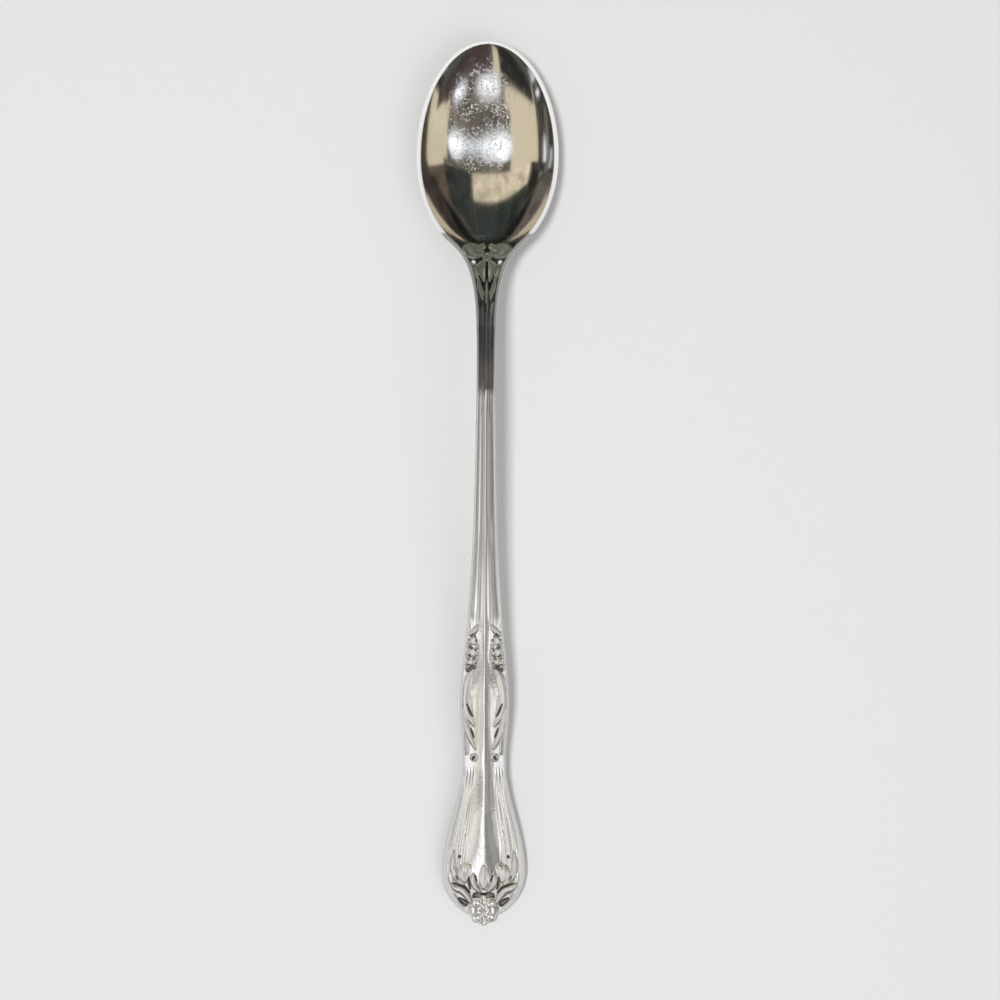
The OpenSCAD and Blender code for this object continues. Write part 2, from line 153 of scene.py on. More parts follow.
@dataclass
class SpoonForm:
    """Plan, side view and sections of the whole spoon, with its places read from the frame."""

    bowl_front_l: float = 24.2
    bowl_rear_l: float = 22.0
    hollow_back_l: float = 29.5
    bowl_depth: float = 6.0
    bowl_wall: float = 1.2
    rim_w: float = 0.8
    rim_edge_h: float = 0.8
    rim_front_rise: float = 0.4
    root_h: float = 9.3
    neck_h: float = 15.4
    neck_t: float = 3.0
    arch_l: float = 13.0
    shank_mid_l: float = 38.5
    shank_w: float = 3.8
    shank_mid_w: float = 4.8
    arch_h: float = 16.8
    shank_mid_h: float = 15.1
    shank_t: float = 2.2
    knop_wide_l: float = 17.5
    knop_start_w: float = 7.4
    knop_w: float = 10.4
    knop_h: float = 11.6
    waist_w: float = 9.1
    waist_h: float = 6.0
    panel_w: float = 17.8
    panel_t: float = 2.0
    tip_start_h: float = 2.9
    tip_h: float = 2.2
    tip_t: float = 2.45
    tip_oval_l: float = 10.2
    rosette_d: float = 6.6
    scallop_depth: float = 0.3
    edge_h: float = 1.1
    thread_w: float = 0.5
    panel_thread_w: float = 1.1
    join_share: float = 0.858
    bowl_power: float = 2.3
    hollow_power: float = 1.5
    petal_count: int = 8
    bowl_w: float = field(init=False)
    spoon_l: float = field(init=False)

    def __post_init__(self) -> None:
        """Read the cuts from the frame and lay out every line along the spoon."""
        low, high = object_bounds()
        self.spoon_l = (high.y - low.y) / MM
        bowl_low, bowl_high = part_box(Region.BOWL.value)
        self.bowl_w = (bowl_high.x - bowl_low.x) / MM
        back = {r: station(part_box(r.value)[0].y, self.spoon_l) for r in Region}
        self.wide_u = self.bowl_front_l
        self.root_u = back[Region.BOWL]
        self.shank_u = back[Region.NECK]
        self.knop_u = back[Region.SHANK]
        self.waist_u = back[Region.KNOP]
        self.panel_u = back[Region.PANEL]
        self.knop_l = self.waist_u - self.knop_u
        self.panel_l = self.panel_u - self.waist_u
        self.rosette_u = self.spoon_l - self.rosette_d / 2
        self.rim_h = self.bowl_depth + self.bowl_wall
        self._lay_out_side()
        self._lay_out_plan()

    def _lay_out_side(self) -> None:
        """Lines for the height of the edge, the thickness and the roundness of the back."""
        self.edge_line = Line(
            (0, self.rim_h + self.rim_front_rise),
            (self.wide_u, self.rim_h),
            (self.root_u, self.root_h),
            (self.shank_u, self.neck_h),
            (self.shank_u + self.arch_l, self.arch_h),
            (self.shank_u + self.shank_mid_l, self.shank_mid_h),
            (self.knop_u, self.knop_h),
            (self.waist_u, self.waist_h),
            (self.panel_u, self.tip_start_h),
            (self.spoon_l, self.tip_h),
        )
        self.under_line = Line(
            (self.root_u, self.bowl_wall),
            ((self.root_u + self.shank_u) / 2, self.neck_t),
            (self.shank_u + self.arch_l, self.shank_t),
            (self.waist_u, self.panel_t),
            ((self.waist_u + self.panel_u) / 2, self.panel_t),
            (self.rosette_u, self.tip_t),
        )
        self.outer_edge = Line((self.wide_u, self.rim_edge_h), (self.shank_u, self.edge_h))
        self.back_power = Line((self.shank_u, self.bowl_power), (self.knop_u, 3), (self.panel_u, 5))

    def _lay_out_plan(self) -> None:
        """Lines for half the width of the handle and the width of its edge thread."""
        self.handle_line = Line(
            (self.shank_u, self.shank_w / 2),
            (self.shank_u + self.shank_mid_l, self.shank_mid_w / 2),
            (self.knop_u, self.knop_start_w / 2),
            (self.knop_u + self.knop_wide_l, self.knop_w / 2),
            (self.waist_u, self.waist_w / 2),
            (self.panel_u, self.panel_w / 2),
        )
        self.thread_line = Line(
            (self.wide_u, self.rim_w),
            (self.root_u, self.rim_w),
            (self.shank_u, self.thread_w),
            (self.waist_u, self.thread_w),
            (self.panel_u, self.panel_thread_w),
        )
        rise = math.sqrt(1 - self.join_share**2)
        self.join_u = self.wide_u + self.bowl_rear_l * self.join_share
        self.flare = self.bowl_w / 2 * rise - self.shank_w / 2
        self.fade = self.bowl_w / 2 / self.bowl_rear_l * self.join_share / rise / self.flare

    def half_w(self, u: np.ndarray) -> np.ndarray:
        """Half the width behind the widest place of the bowl.

        Args:
            u: Stations back from the front of the bowl.

        Returns:
            Half widths: the rear oval, then the curve that runs it into the handle.
        """
        u = np.asarray(u, float)
        oval = np.sqrt(np.clip(1 - ((u - self.wide_u) / self.bowl_rear_l) ** 2, 0, None))
        neck = self.handle_line(u) + self.flare * np.exp(-(u - self.join_u) * self.fade)
        return np.where(u <= self.join_u, self.bowl_w / 2 * oval, neck)

    def hollow(self, u: np.ndarray) -> np.ndarray:
        """Share of the bowl's depth left at each station behind its widest place."""
        t = np.clip((u - self.wide_u) / self.hollow_back_l, 0, 1)
        return (1 - t**2) ** self.hollow_power

    def front(self, u: np.ndarray, start: float) -> np.ndarray:
        """Share of the bowl's depth left at each station ahead of its widest place."""
        t = np.clip(np.abs((self.wide_u - u) / (self.wide_u - start)), 0, 1)
        return 1 - t**self.bowl_power

    def dish(self, u: np.ndarray, s: np.ndarray) -> np.ndarray:
        """Depth of the hollow under the rim at share s of half its width."""
        share = np.where(u <= self.wide_u, self.front(u, self.rim_w), self.hollow(u))
        return self.bowl_depth * share * (1 - np.abs(s) ** self.bowl_power)

    def back(self, u: np.ndarray, s: np.ndarray, left: np.ndarray) -> np.ndarray:
        """Height of the underside.

        Args:
            u: Stations back from the front of the bowl.
            s: Shares of half the width.
            left: Share of the belly that is left, under 1 only round the rosette.

        Returns:
            Heights above the table, never below it, so the foot is a flat.
        """
        edge = self.outer_edge(u)
        ahead = (self.rim_h - self.rim_edge_h) * self.front(u, 0)
        behind = (self.rim_h - edge) * self.hollow(u)
        behind = behind + (self.under_line(u) - edge) * (1 - self.hollow(u))
        belly = np.where(u <= self.wide_u, ahead, behind)
        sunk = left * belly * (1 - np.abs(s) ** self.back_power(u))
        return np.maximum(self.edge_line(u) - edge - sunk, 0)


@dataclass(frozen=True)
class Leaf:
    """One struck leaf, bead or drilled eye.

    The spine is a row of (across, along, half width), in shares of the ornament's length.
    """

    cut: Cut
    spine: tuple[Triple, ...]
    rise: float = 1.0

    def smooth_spine(self, between: int = 5) -> np.ndarray:
        """Spine with extra stations on a curve through the given ones.

        Args:
            between: Stations made for each stretch.

        Returns:
            Array of (across, along, half width) rows.
        """
        points = np.array(self.spine, float)
        if len(points) < 3:
            return points
        padded = np.vstack([2 * points[0] - points[1], points, 2 * points[-1] - points[-2]])
        rows = []
        for i in range(1, len(padded) - 2):
            a, b, c, d = padded[i - 1 : i + 3]
            for t in np.arange(between) / between:
                curve = 2 * b + (c - a) * t + (2 * a - 5 * b + 4 * c - d) * t**2
                rows.append((curve + (3 * b - 3 * c + d - a) * t**3) / 2)
        rows.append(points[-1])
        out = np.array(rows)
        out[:, 2] = np.maximum(out[:, 2], points[:, 2].min() / 2)
        return out

    def reach(self, across: np.ndarray, along: np.ndarray) -> np.ndarray:
        """Distance from the spine as a share of the half width there.

        Args:
            across: Distances from the centre line, in shares of the ornament's length.
            along: Distances from the ornament's start, in the same shares.

        Returns:
            0 on the spine, 1 on the leaf's outline and more outside it.
        """
        spine = self.smooth_spine()
        nearest = np.full(across.shape, np.inf)
        for a, b in zip(spine, spine[1:] if len(spine) > 1 else spine):
            step = b[:2] - a[:2]
            span = float(step @ step)
            t = 0.0
            if span > 0:
                t = np.clip(((across - a[0]) * step[0] + (along - a[1]) * step[1]) / span, 0, 1)
            gap = np.hypot(across - a[0] - step[0] * t, along - a[1] - step[1] * t)
            nearest = np.minimum(nearest, gap / (a[2] + (b[2] - a[2]) * t))
        return nearest

    def height(self, across: np.ndarray, along: np.ndarray) -> np.ndarray:
        """Height share of the leaf, 0 outside its outline.

        Args:
            across: Distances from the centre line, in shares of the ornament's length.
            along: Distances from the ornament's start, in the same shares.

        Returns:
            The share at each place.
        """
        r = np.clip(self.reach(across, along), 0, 1)
        if self.cut is Cut.VEINED:
            shape = (1 - r**2) * (1 - VEIN_DEPTH * np.exp(-((r / VEIN_W) ** 2)))
        elif self.cut is Cut.LIPPED:
            lip = LIP_H * np.exp(-(((r - LIP_AT) / LIP_W) ** 2)) * (1 - r**8)
            shape = (1 - LIP_H) * (1 - r**4) + lip
        elif self.cut is Cut.DRILLED:
            shape = np.sqrt(1 - r**2)
        else:
            shape = 1 - r**2
        return self.rise * shape


@dataclass
class Ornament:
    """Leaves and eyes struck over one stretch of the handle, the same on both sides."""

    start: float
    length: float
    rise: float
    depth: float
    ground: float
    ground_from: float
    leaves: tuple[Leaf, ...]
    margin: float = 0.15
    outline: float = 3.0
    ground_in: float = 0.06
    ground_out: float = 0.25
    pit_film: float = 1.1

    def relief(self, u: np.ndarray, x: np.ndarray) -> tuple[np.ndarray, np.ndarray, np.ndarray]:
        """Height, cover and bare ground of the ornament.

        Args:
            u: Stations back from the front of the bowl.
            x: Distances from the centre line.

        Returns:
            Height over the ground in millimetres, the share of the ground covered, and the
            film share of the ground that shows between the leaves.
        """
        height = np.zeros(np.broadcast(u, x).shape)
        pit = np.zeros(height.shape)
        across = np.abs(x) / self.length + np.zeros(height.shape)
        along = (u - self.start) / self.length + np.zeros(height.shape)
        near = (along > -self.margin) & (along < 1 + self.margin)
        if not near.any():
            return height, height, height
        for leaf in self.leaves:
            if leaf.cut is Cut.DRILLED:
                pit[near] = np.maximum(pit[near], leaf.height(across[near], along[near]))
            else:
                height[near] = np.maximum(height[near], leaf.height(across[near], along[near]))
        cover = np.clip(height * self.outline, 0, 1)
        inside = np.clip((along - self.ground_from) / self.ground_in, 0, 1)
        inside = inside * np.clip((1 - along) / self.ground_out, 0, 1)
        film = np.maximum(self.ground * inside * (1 - cover), np.clip(self.pit_film * pit**2, 0, 1))
        shown = cover * (1 - np.clip(pit * self.outline, 0, 1))
        return self.rise * height - self.depth * pit, shown, film


BLOSSOM_LEAVES = (
    Leaf(Cut.LIPPED, ((0.0, 0.26, 0.075),), 1.3),
    Leaf(
        Cut.LIPPED,
        ((0.08, 0.21, 0.045), (0.15, 0.18, 0.11), (0.235, 0.17, 0.13), (0.3, 0.14, 0.07)),
        1.1,
    ),
    Leaf(Cut.BEAD, ((0.06, 0.09, 0.05), (0.12, 0.13, 0.07)), 1.1),
    Leaf(Cut.BEAD, ((0.2, 0.375, 0.045),), 1.3),
    Leaf(
        Cut.BEAD,
        ((0.055, 0.35, 0.04), (0.1, 0.43, 0.078), (0.09, 0.52, 0.068), (0.045, 0.64, 0.026)),
        1.1,
    ),
    Leaf(Cut.BEAD, ((0.185, 0.45, 0.022), (0.16, 0.54, 0.034), (0.125, 0.65, 0.016)), 0.9),
    Leaf(
        Cut.BEAD,
        ((0.125, 0.6, 0.018), (0.105, 0.7, 0.042), (0.075, 0.82, 0.04), (0.06, 0.93, 0.014)),
        0.9,
    ),
    Leaf(Cut.BEAD, ((0.0, 0.66, 0.012), (0.0, 0.82, 0.024), (0.0, 0.98, 0.014)), 0.7),
    Leaf(Cut.DRILLED, ((0.135, 0.32, 0.016), (0.15, 0.37, 0.012)), 0.6),
    Leaf(Cut.DRILLED, ((0.11, 0.57, 0.01), (0.08, 0.66, 0.014), (0.035, 0.8, 0.012)), 0.9),
)

KNOP_LEAVES = (
    Leaf(Cut.VEINED, ((0.052, 0.03, 0.01), (0.07, 0.06, 0.022), (0.1, 0.085, 0.018)), 0.9),
    Leaf(Cut.LIPPED, ((0.08, 0.135, 0.03),)),
    Leaf(Cut.LIPPED, ((0.086, 0.215, 0.032),)),
    Leaf(Cut.BEAD, ((0.092, 0.285, 0.03),)),
    Leaf(Cut.BEAD, ((0.112, 0.145, 0.018), (0.12, 0.175, 0.016))),
    Leaf(Cut.BEAD, ((0.124, 0.22, 0.02), (0.13, 0.25, 0.014))),
    Leaf(Cut.BEAD, ((0.133, 0.295, 0.021), (0.136, 0.325, 0.014))),
    Leaf(Cut.BEAD, ((0.052, 0.18, 0.015),)),
    Leaf(Cut.BEAD, ((0.056, 0.23, 0.015),)),
    Leaf(Cut.BEAD, ((0.06, 0.28, 0.015),)),
    Leaf(
        Cut.BEAD,
        (
            (0.08, 0.34, 0.014),
            (0.11, 0.4, 0.03),
            (0.132, 0.5, 0.038),
            (0.135, 0.58, 0.038),
            (0.115, 0.66, 0.03),
            (0.072, 0.74, 0.012),
        ),
    ),
    Leaf(Cut.BEAD, ((0.15, 0.62, 0.008), (0.138, 0.71, 0.024), (0.1, 0.82, 0.024), (0.065, 0.9, 0.012))),
    Leaf(Cut.BEAD, ((0.096, 0.53, 0.008), (0.1, 0.61, 0.016), (0.08, 0.7, 0.008)), 0.7),
    Leaf(Cut.LIPPED, ((0.073, 0.967, 0.03),), 1.1),
    # Shallow hollows at the knop's waist: their film darkens the lower flanks, painted shade that stands in
    # for the dark those flanks reflect
    Leaf(Cut.DRILLED, ((0.156, 0.76, 0.012), (0.146, 0.85, 0.036), (0.126, 0.93, 0.02)), 0.66),
    Leaf(Cut.DRILLED, ((0.116, 0.125, 0.009), (0.128, 0.14, 0.007)), 0.9),
    Leaf(Cut.DRILLED, ((0.068, 0.1, 0.007),)),
    Leaf(Cut.DRILLED, ((0.137, 0.195, 0.009), (0.128, 0.205, 0.007))),
    Leaf(Cut.DRILLED, ((0.064, 0.2, 0.007),)),
    Leaf(Cut.DRILLED, ((0.108, 0.236, 0.008), (0.098, 0.246, 0.006))),
    Leaf(Cut.DRILLED, ((0.144, 0.268, 0.008),), 0.9),
    Leaf(Cut.DRILLED, ((0.064, 0.3, 0.009), (0.07, 0.33, 0.007)), 0.9),
    Leaf(Cut.DRILLED, ((0.122, 0.305, 0.008),)),
    Leaf(Cut.DRILLED, ((0.083, 0.09, 0.01), (0.095, 0.1, 0.007))),
    Leaf(Cut.DRILLED, ((0.058, 0.133, 0.011),), 0.8),
    Leaf(Cut.DRILLED, ((0.1, 0.178, 0.01), (0.092, 0.186, 0.01)), 0.9),
    Leaf(Cut.DRILLED, ((0.07, 0.255, 0.009), (0.078, 0.262, 0.007)), 0.8),
    Leaf(Cut.DRILLED, ((0.112, 0.262, 0.009),), 0.7),
    Leaf(Cut.DRILLED, ((0.078, 0.318, 0.01), (0.094, 0.325, 0.014), (0.118, 0.345, 0.012)), 1.1),
    Leaf(Cut.DRILLED, ((0.122, 0.587, 0.006), (0.103, 0.635, 0.009), (0.085, 0.67, 0.006)), 1.1),
    Leaf(Cut.DRILLED, ((0.096, 0.76, 0.005), (0.086, 0.79, 0.008), (0.074, 0.823, 0.005))),
    Leaf(Cut.DRILLED, ((0.074, 0.967, 0.011), (0.083, 0.98, 0.007)), 1.2),
)

CREST_LEAVES = (
    Leaf(Cut.BEAD, ((0.0, 0.2, 0.03), (0.0, 0.29, 0.062), (0.0, 0.39, 0.07), (0.0, 0.48, 0.04)), 1.2),
    Leaf(
        Cut.BEAD,
        ((0.06, 0.53, 0.03), (0.115, 0.47, 0.045), (0.145, 0.39, 0.045), (0.14, 0.31, 0.02)),
        1.1,
    ),
    Leaf(Cut.BEAD, ((0.2, 0.2, 0.04), (0.25, 0.25, 0.085), (0.27, 0.33, 0.07), (0.25, 0.4, 0.03)), 1.1),
    Leaf(
        Cut.BEAD,
        (
            (0.4, 0.0, 0.012),
            (0.412, 0.12, 0.034),
            (0.405, 0.24, 0.045),
            (0.36, 0.36, 0.05),
            (0.28, 0.44, 0.035),
        ),
    ),
    Leaf(
        Cut.BEAD,
        (
            (0.43, 0.45, 0.03),
            (0.37, 0.5, 0.05),
            (0.285, 0.53, 0.055),
            (0.22, 0.6, 0.05),
            (0.17, 0.68, 0.03),
        ),
        1.1,
    ),
    Leaf(Cut.BEAD, ((0.4, 0.58, 0.02), (0.36, 0.66, 0.03), (0.31, 0.74, 0.018)), 0.8),
    Leaf(Cut.DRILLED, ((0.325, 0.07, 0.02),)),
    Leaf(Cut.DRILLED, ((0.36, 0.34, 0.018), (0.345, 0.38, 0.01)), 0.9),
    Leaf(Cut.DRILLED, ((0.2, 0.35, 0.008), (0.195, 0.43, 0.018), (0.18, 0.5, 0.012)), 1.1),
    Leaf(
        Cut.DRILLED,
        ((0.4, 0.43, 0.008), (0.32, 0.455, 0.015), (0.25, 0.485, 0.017), (0.19, 0.55, 0.012)),
        1.2,
    ),
    Leaf(Cut.DRILLED, ((0.095, 0.4, 0.01), (0.115, 0.33, 0.012)), 0.9),
    Leaf(Cut.DRILLED, ((0.0, 0.6, 0.036), (0.1, 0.59, 0.035), (0.13, 0.61, 0.02)), 1.3),
    Leaf(Cut.DRILLED, ((0.25, 0.7, 0.046), (0.32, 0.65, 0.03)), 1.3),
)

NECK_BEADS = ((0.2, 0.36, 0.034),)
KNOP_BERRIES = (
    (0.05, 0.165, 0.012),
    (0.053, 0.215, 0.012),
    (0.057, 0.262, 0.011),
    (0.061, 0.306, 0.011),
    (0.116, 0.158, 0.012),
    (0.127, 0.232, 0.012),
    (0.134, 0.308, 0.011),
)


@dataclass
class HandleRelief:
    """Everything struck into the top of the handle, from the blossom to the rosette."""

    form: SpoonForm
    keel_w: float = 1.3
    keel_rise: float = 0.3
    spindle_w: float = 6.0
    spindle_rise: float = 1.0
    medial_w: float = 7.0
    medial_rise: float = 0.85
    crest_round: float = 0.28
    medial_round: float = 0.5
    round_share: float = 0.5
    line_depth: float = 0.2
    leaf_rise: float = 0.3
    blossom_rise: float = 0.35
    crest_rise: float = 0.36
    pit_depth: float = 0.38
    blossom_gap_l: float = 1.2
    blossom_l: float = 14.0
    crest_l: float = 16.0
    reed_lead_l: float = 6.7
    spindle_from: float = 0.22
    spindle_wide: float = 0.55
    medial_wide: float = 0.6
    medial_high: float = 0.5
    panel_reeds_full: float = 0.4
    cushion_share: float = 0.35
    buried: float = 0.6
    edge_fade: float = 0.06

    def __post_init__(self) -> None:
        """Lay out the ridge, the struck lines and the three carved stretches."""
        f = self.form
        rosette_end = f.spoon_l - f.rosette_d
        self.ridge_line = Line(
            (f.root_u + self.blossom_gap_l, self.keel_w / 2),
            (f.shank_u + f.shank_mid_l, self.keel_w * 0.6),
            (f.knop_u + f.knop_l * self.spindle_from, self.keel_w * 0.8),
            (f.knop_u + f.knop_l * self.spindle_wide, self.spindle_w / 2),
            (f.waist_u, self.spindle_w * 0.28),
            (f.waist_u + f.panel_l * self.medial_wide, self.medial_w / 2),
            (f.panel_u, self.medial_w * 0.4),
            (rosette_end, self.keel_w / 2),
        )
        self.rise_line = Line(
            (f.root_u + self.blossom_l, 0),
            (f.shank_u + f.arch_l, self.keel_rise),
            (f.knop_u, self.keel_rise),
            (f.knop_u + f.knop_l * self.spindle_wide, self.spindle_rise),
            (f.waist_u, self.keel_rise),
            (f.waist_u + f.panel_l * self.medial_high, self.medial_rise),
            (rosette_end, 0),
        )
        self.round_line = Line(
            (f.knop_u, self.crest_round),
            (f.knop_u + f.knop_l * self.spindle_wide, self.medial_round * 0.6),
            (f.waist_u, self.crest_round),
            (f.waist_u + f.panel_l * self.medial_wide, self.medial_round),
        )
        self.shank_share = Line(
            (f.shank_u - self.reed_lead_l, 0),
            (f.shank_u, 1),
            (f.knop_u - f.knop_l / 15, 1),
            (f.knop_u + f.knop_l / 12, 0),
        )
        self.panel_share = Line(
            (f.waist_u, 0),
            (f.waist_u + f.panel_l * self.panel_reeds_full, 1),
            (f.panel_u, 1),
            (rosette_end, 0),
        )
        self.shank_lines = Line(
            (0, 0),
            (0.3, -0.5),
            (0.37, -1),
            (0.46, 0.25),
            (0.55, -0.6),
            (0.72, -0.75),
            (0.9, -1),
            (1, 0),
        )
        self.panel_lines = Line(
            (0, 0),
            (0.44, 0),
            (0.52, -0.6),
            (0.6, 0.1),
            (0.66, -0.5),
            (0.74, 0.15),
            (0.82, -0.6),
            (0.9, 0.1),
            (0.96, -0.8),
            (1, 0),
        )
        self.carvings = (
            Ornament(
                start=f.root_u + self.blossom_gap_l,
                length=self.blossom_l,
                rise=self.blossom_rise,
                depth=self.pit_depth,
                ground=0.95,
                ground_from=-0.02,
                leaves=BLOSSOM_LEAVES,
            ),
            Ornament(
                start=f.knop_u,
                length=f.knop_l,
                rise=self.leaf_rise,
                depth=self.pit_depth,
                ground=0.1,
                ground_from=0.1,
                leaves=KNOP_LEAVES,
            ),
            Ornament(
                start=f.spoon_l - self.crest_l,
                length=self.crest_l,
                rise=self.crest_rise,
                depth=self.pit_depth * 1.3,
                ground=0.3,
                ground_from=0.45,
                leaves=CREST_LEAVES,
            ),
        )

    def ridge(self, u: np.ndarray, x: np.ndarray) -> np.ndarray:
        """Height of the keel, spindle or medial panel, with its crest just rounded.

        Args:
            u: Stations back from the front of the bowl.
            x: Distances from the centre line.

        Returns:
            Heights over the edge line.
        """
        half = self.ridge_line(u)
        soft = self.round_line(u)
        q = np.clip((np.sqrt(x**2 + soft**2) - soft) / half, 0, 1)
        return self.rise_line(u) * (1 - q * (1 - self.round_share) - q**2 * self.round_share)

    def lines(self, u: np.ndarray, s: np.ndarray) -> np.ndarray:
        """Height of the struck lines beside the ridge, along the shank and the panel.

        Args:
            u: Stations back from the front of the bowl.
            s: Shares of half the width inside the edge thread.

        Returns:
            Heights, below 0 in a line.
        """
        s = np.abs(s)
        shank = self.shank_share(u) * self.shank_lines(s)
        return self.line_depth * (shank + self.panel_share(u) * self.panel_lines(s))

    def rosette(self, u: np.ndarray, x: np.ndarray) -> tuple[np.ndarray, np.ndarray]:
        """Ground of the rosette: a low cushion that its petals are set on.

        Args:
            u: Stations back from the front of the bowl.
            x: Distances from the centre line.

        Returns:
            Height share and cover.
        """
        f = self.form
        r = np.hypot(x, u - f.rosette_u) / (f.rosette_d / 2)
        bump = np.clip(1 - r**4, 0, 1)
        return self.cushion_share * bump, np.clip(bump * 2, 0, 1)

    def top(self, u: np.ndarray, s: np.ndarray, x: np.ndarray) -> tuple[np.ndarray, np.ndarray]:
        """Top face behind the bowl.

        Args:
            u: Stations back from the front of the bowl.
            s: Shares of half the width inside the edge thread.
            x: Distances from the centre line.

        Returns:
            Height over the edge line, and the film share of the ground between the leaves,
            below 0 where a leaf covers it.
        """
        ground = self.ridge(u, x) + self.lines(u, s)
        height = np.zeros(ground.shape)
        cover = np.zeros(ground.shape)
        bare = np.zeros(ground.shape)
        for carving in self.carvings:
            rise, hidden, between = carving.relief(u, x)
            height += rise
            cover = np.maximum(cover, hidden)
            bare = np.maximum(bare, between)
        cushion, hidden = self.rosette(u, x)
        cover = np.maximum(cover, hidden)
        edge = np.clip((1 - np.abs(s)) / self.edge_fade, 0, 1)
        carved = (height + self.crest_rise * cushion) * edge
        return ground * (1 - self.buried * cover) + carved, (bare - cover) * edge


@dataclass
class Sections:
    """A run of cross sections: outer and inner edge points in plan, and the share of belly left."""

    outer: np.ndarray
    inner: np.ndarray
    left: np.ndarray

    @staticmethod
    def joined(*runs: "Sections") -> "Sections":
        """One run made of several.

        Args:
            runs: The runs, in order.

        Returns:
            The whole run.
        """
        return Sections(
            np.vstack([r.outer for r in runs]),
            np.vstack([r.inner for r in runs]),
            np.concatenate([r.left for r in runs]),
        )


def flat_sections(form: SpoonForm, start: float, end: float, count: int) -> Sections:
    """Sections on flat planes across the spoon.

    Args:
        form: Plan of the spoon.
        start: First station.
        end: Last station.
        count: Number of steps between them.

    Returns:
        The run of sections.
    """
    u = np.linspace(start, end, count + 1)
    half = form.half_w(u)
    slope = (form.half_w(u + SLOPE_STEP) - form.half_w(u - SLOPE_STEP)) / (2 * SLOPE_STEP)
    inset = form.thread_line(u) * np.sqrt(1 + slope**2)
    return Sections(np.column_stack([half, u]), np.column_stack([half - inset, u]), np.ones(len(u)))


def inset_sections(points: np.ndarray, ways: np.ndarray, width: float) -> Sections:
    """Sections whose inner edge is set in at a right angle to the outline.

    Args:
        points: Outer points in plan.
        ways: Inward directions in plan.
        width: Distance in.

    Returns:
        The run of sections.
    """
    ways = ways / np.linalg.norm(ways, axis=1, keepdims=True)
    return Sections(points, points + ways * width, np.ones(len(points)))


def rounded_corner(corner: np.ndarray, before: np.ndarray, after: np.ndarray, cut: float) -> np.ndarray:
    """Points of a small round on each section's corner.

    Args:
        corner: Corner points, one for each section.
        before: Points that the round comes from.
        after: Points that it leads to.
        cut: Distance from the corner at which the round starts and ends.

    Returns:
        Array of sections by points by 3.
    """

    def towards(target: np.ndarray) -> np.ndarray:
        """End of the round on the side of a target.

        Args:
            target: Points that the side runs to.

        Returns:
            One point for each section.
        """
        way = target - corner
        length = np.linalg.norm(way, axis=1, keepdims=True)
        return corner + way / np.maximum(length, 1e-9) * np.minimum(cut, length * CORNER_SHARE)

    start, end = towards(before), towards(after)
    t = np.linspace(0, 1, CORNER_POINTS)[None, :, None]
    return (1 - t) ** 2 * start[:, None] + 2 * t * (1 - t) * corner[:, None] + t**2 * end[:, None]


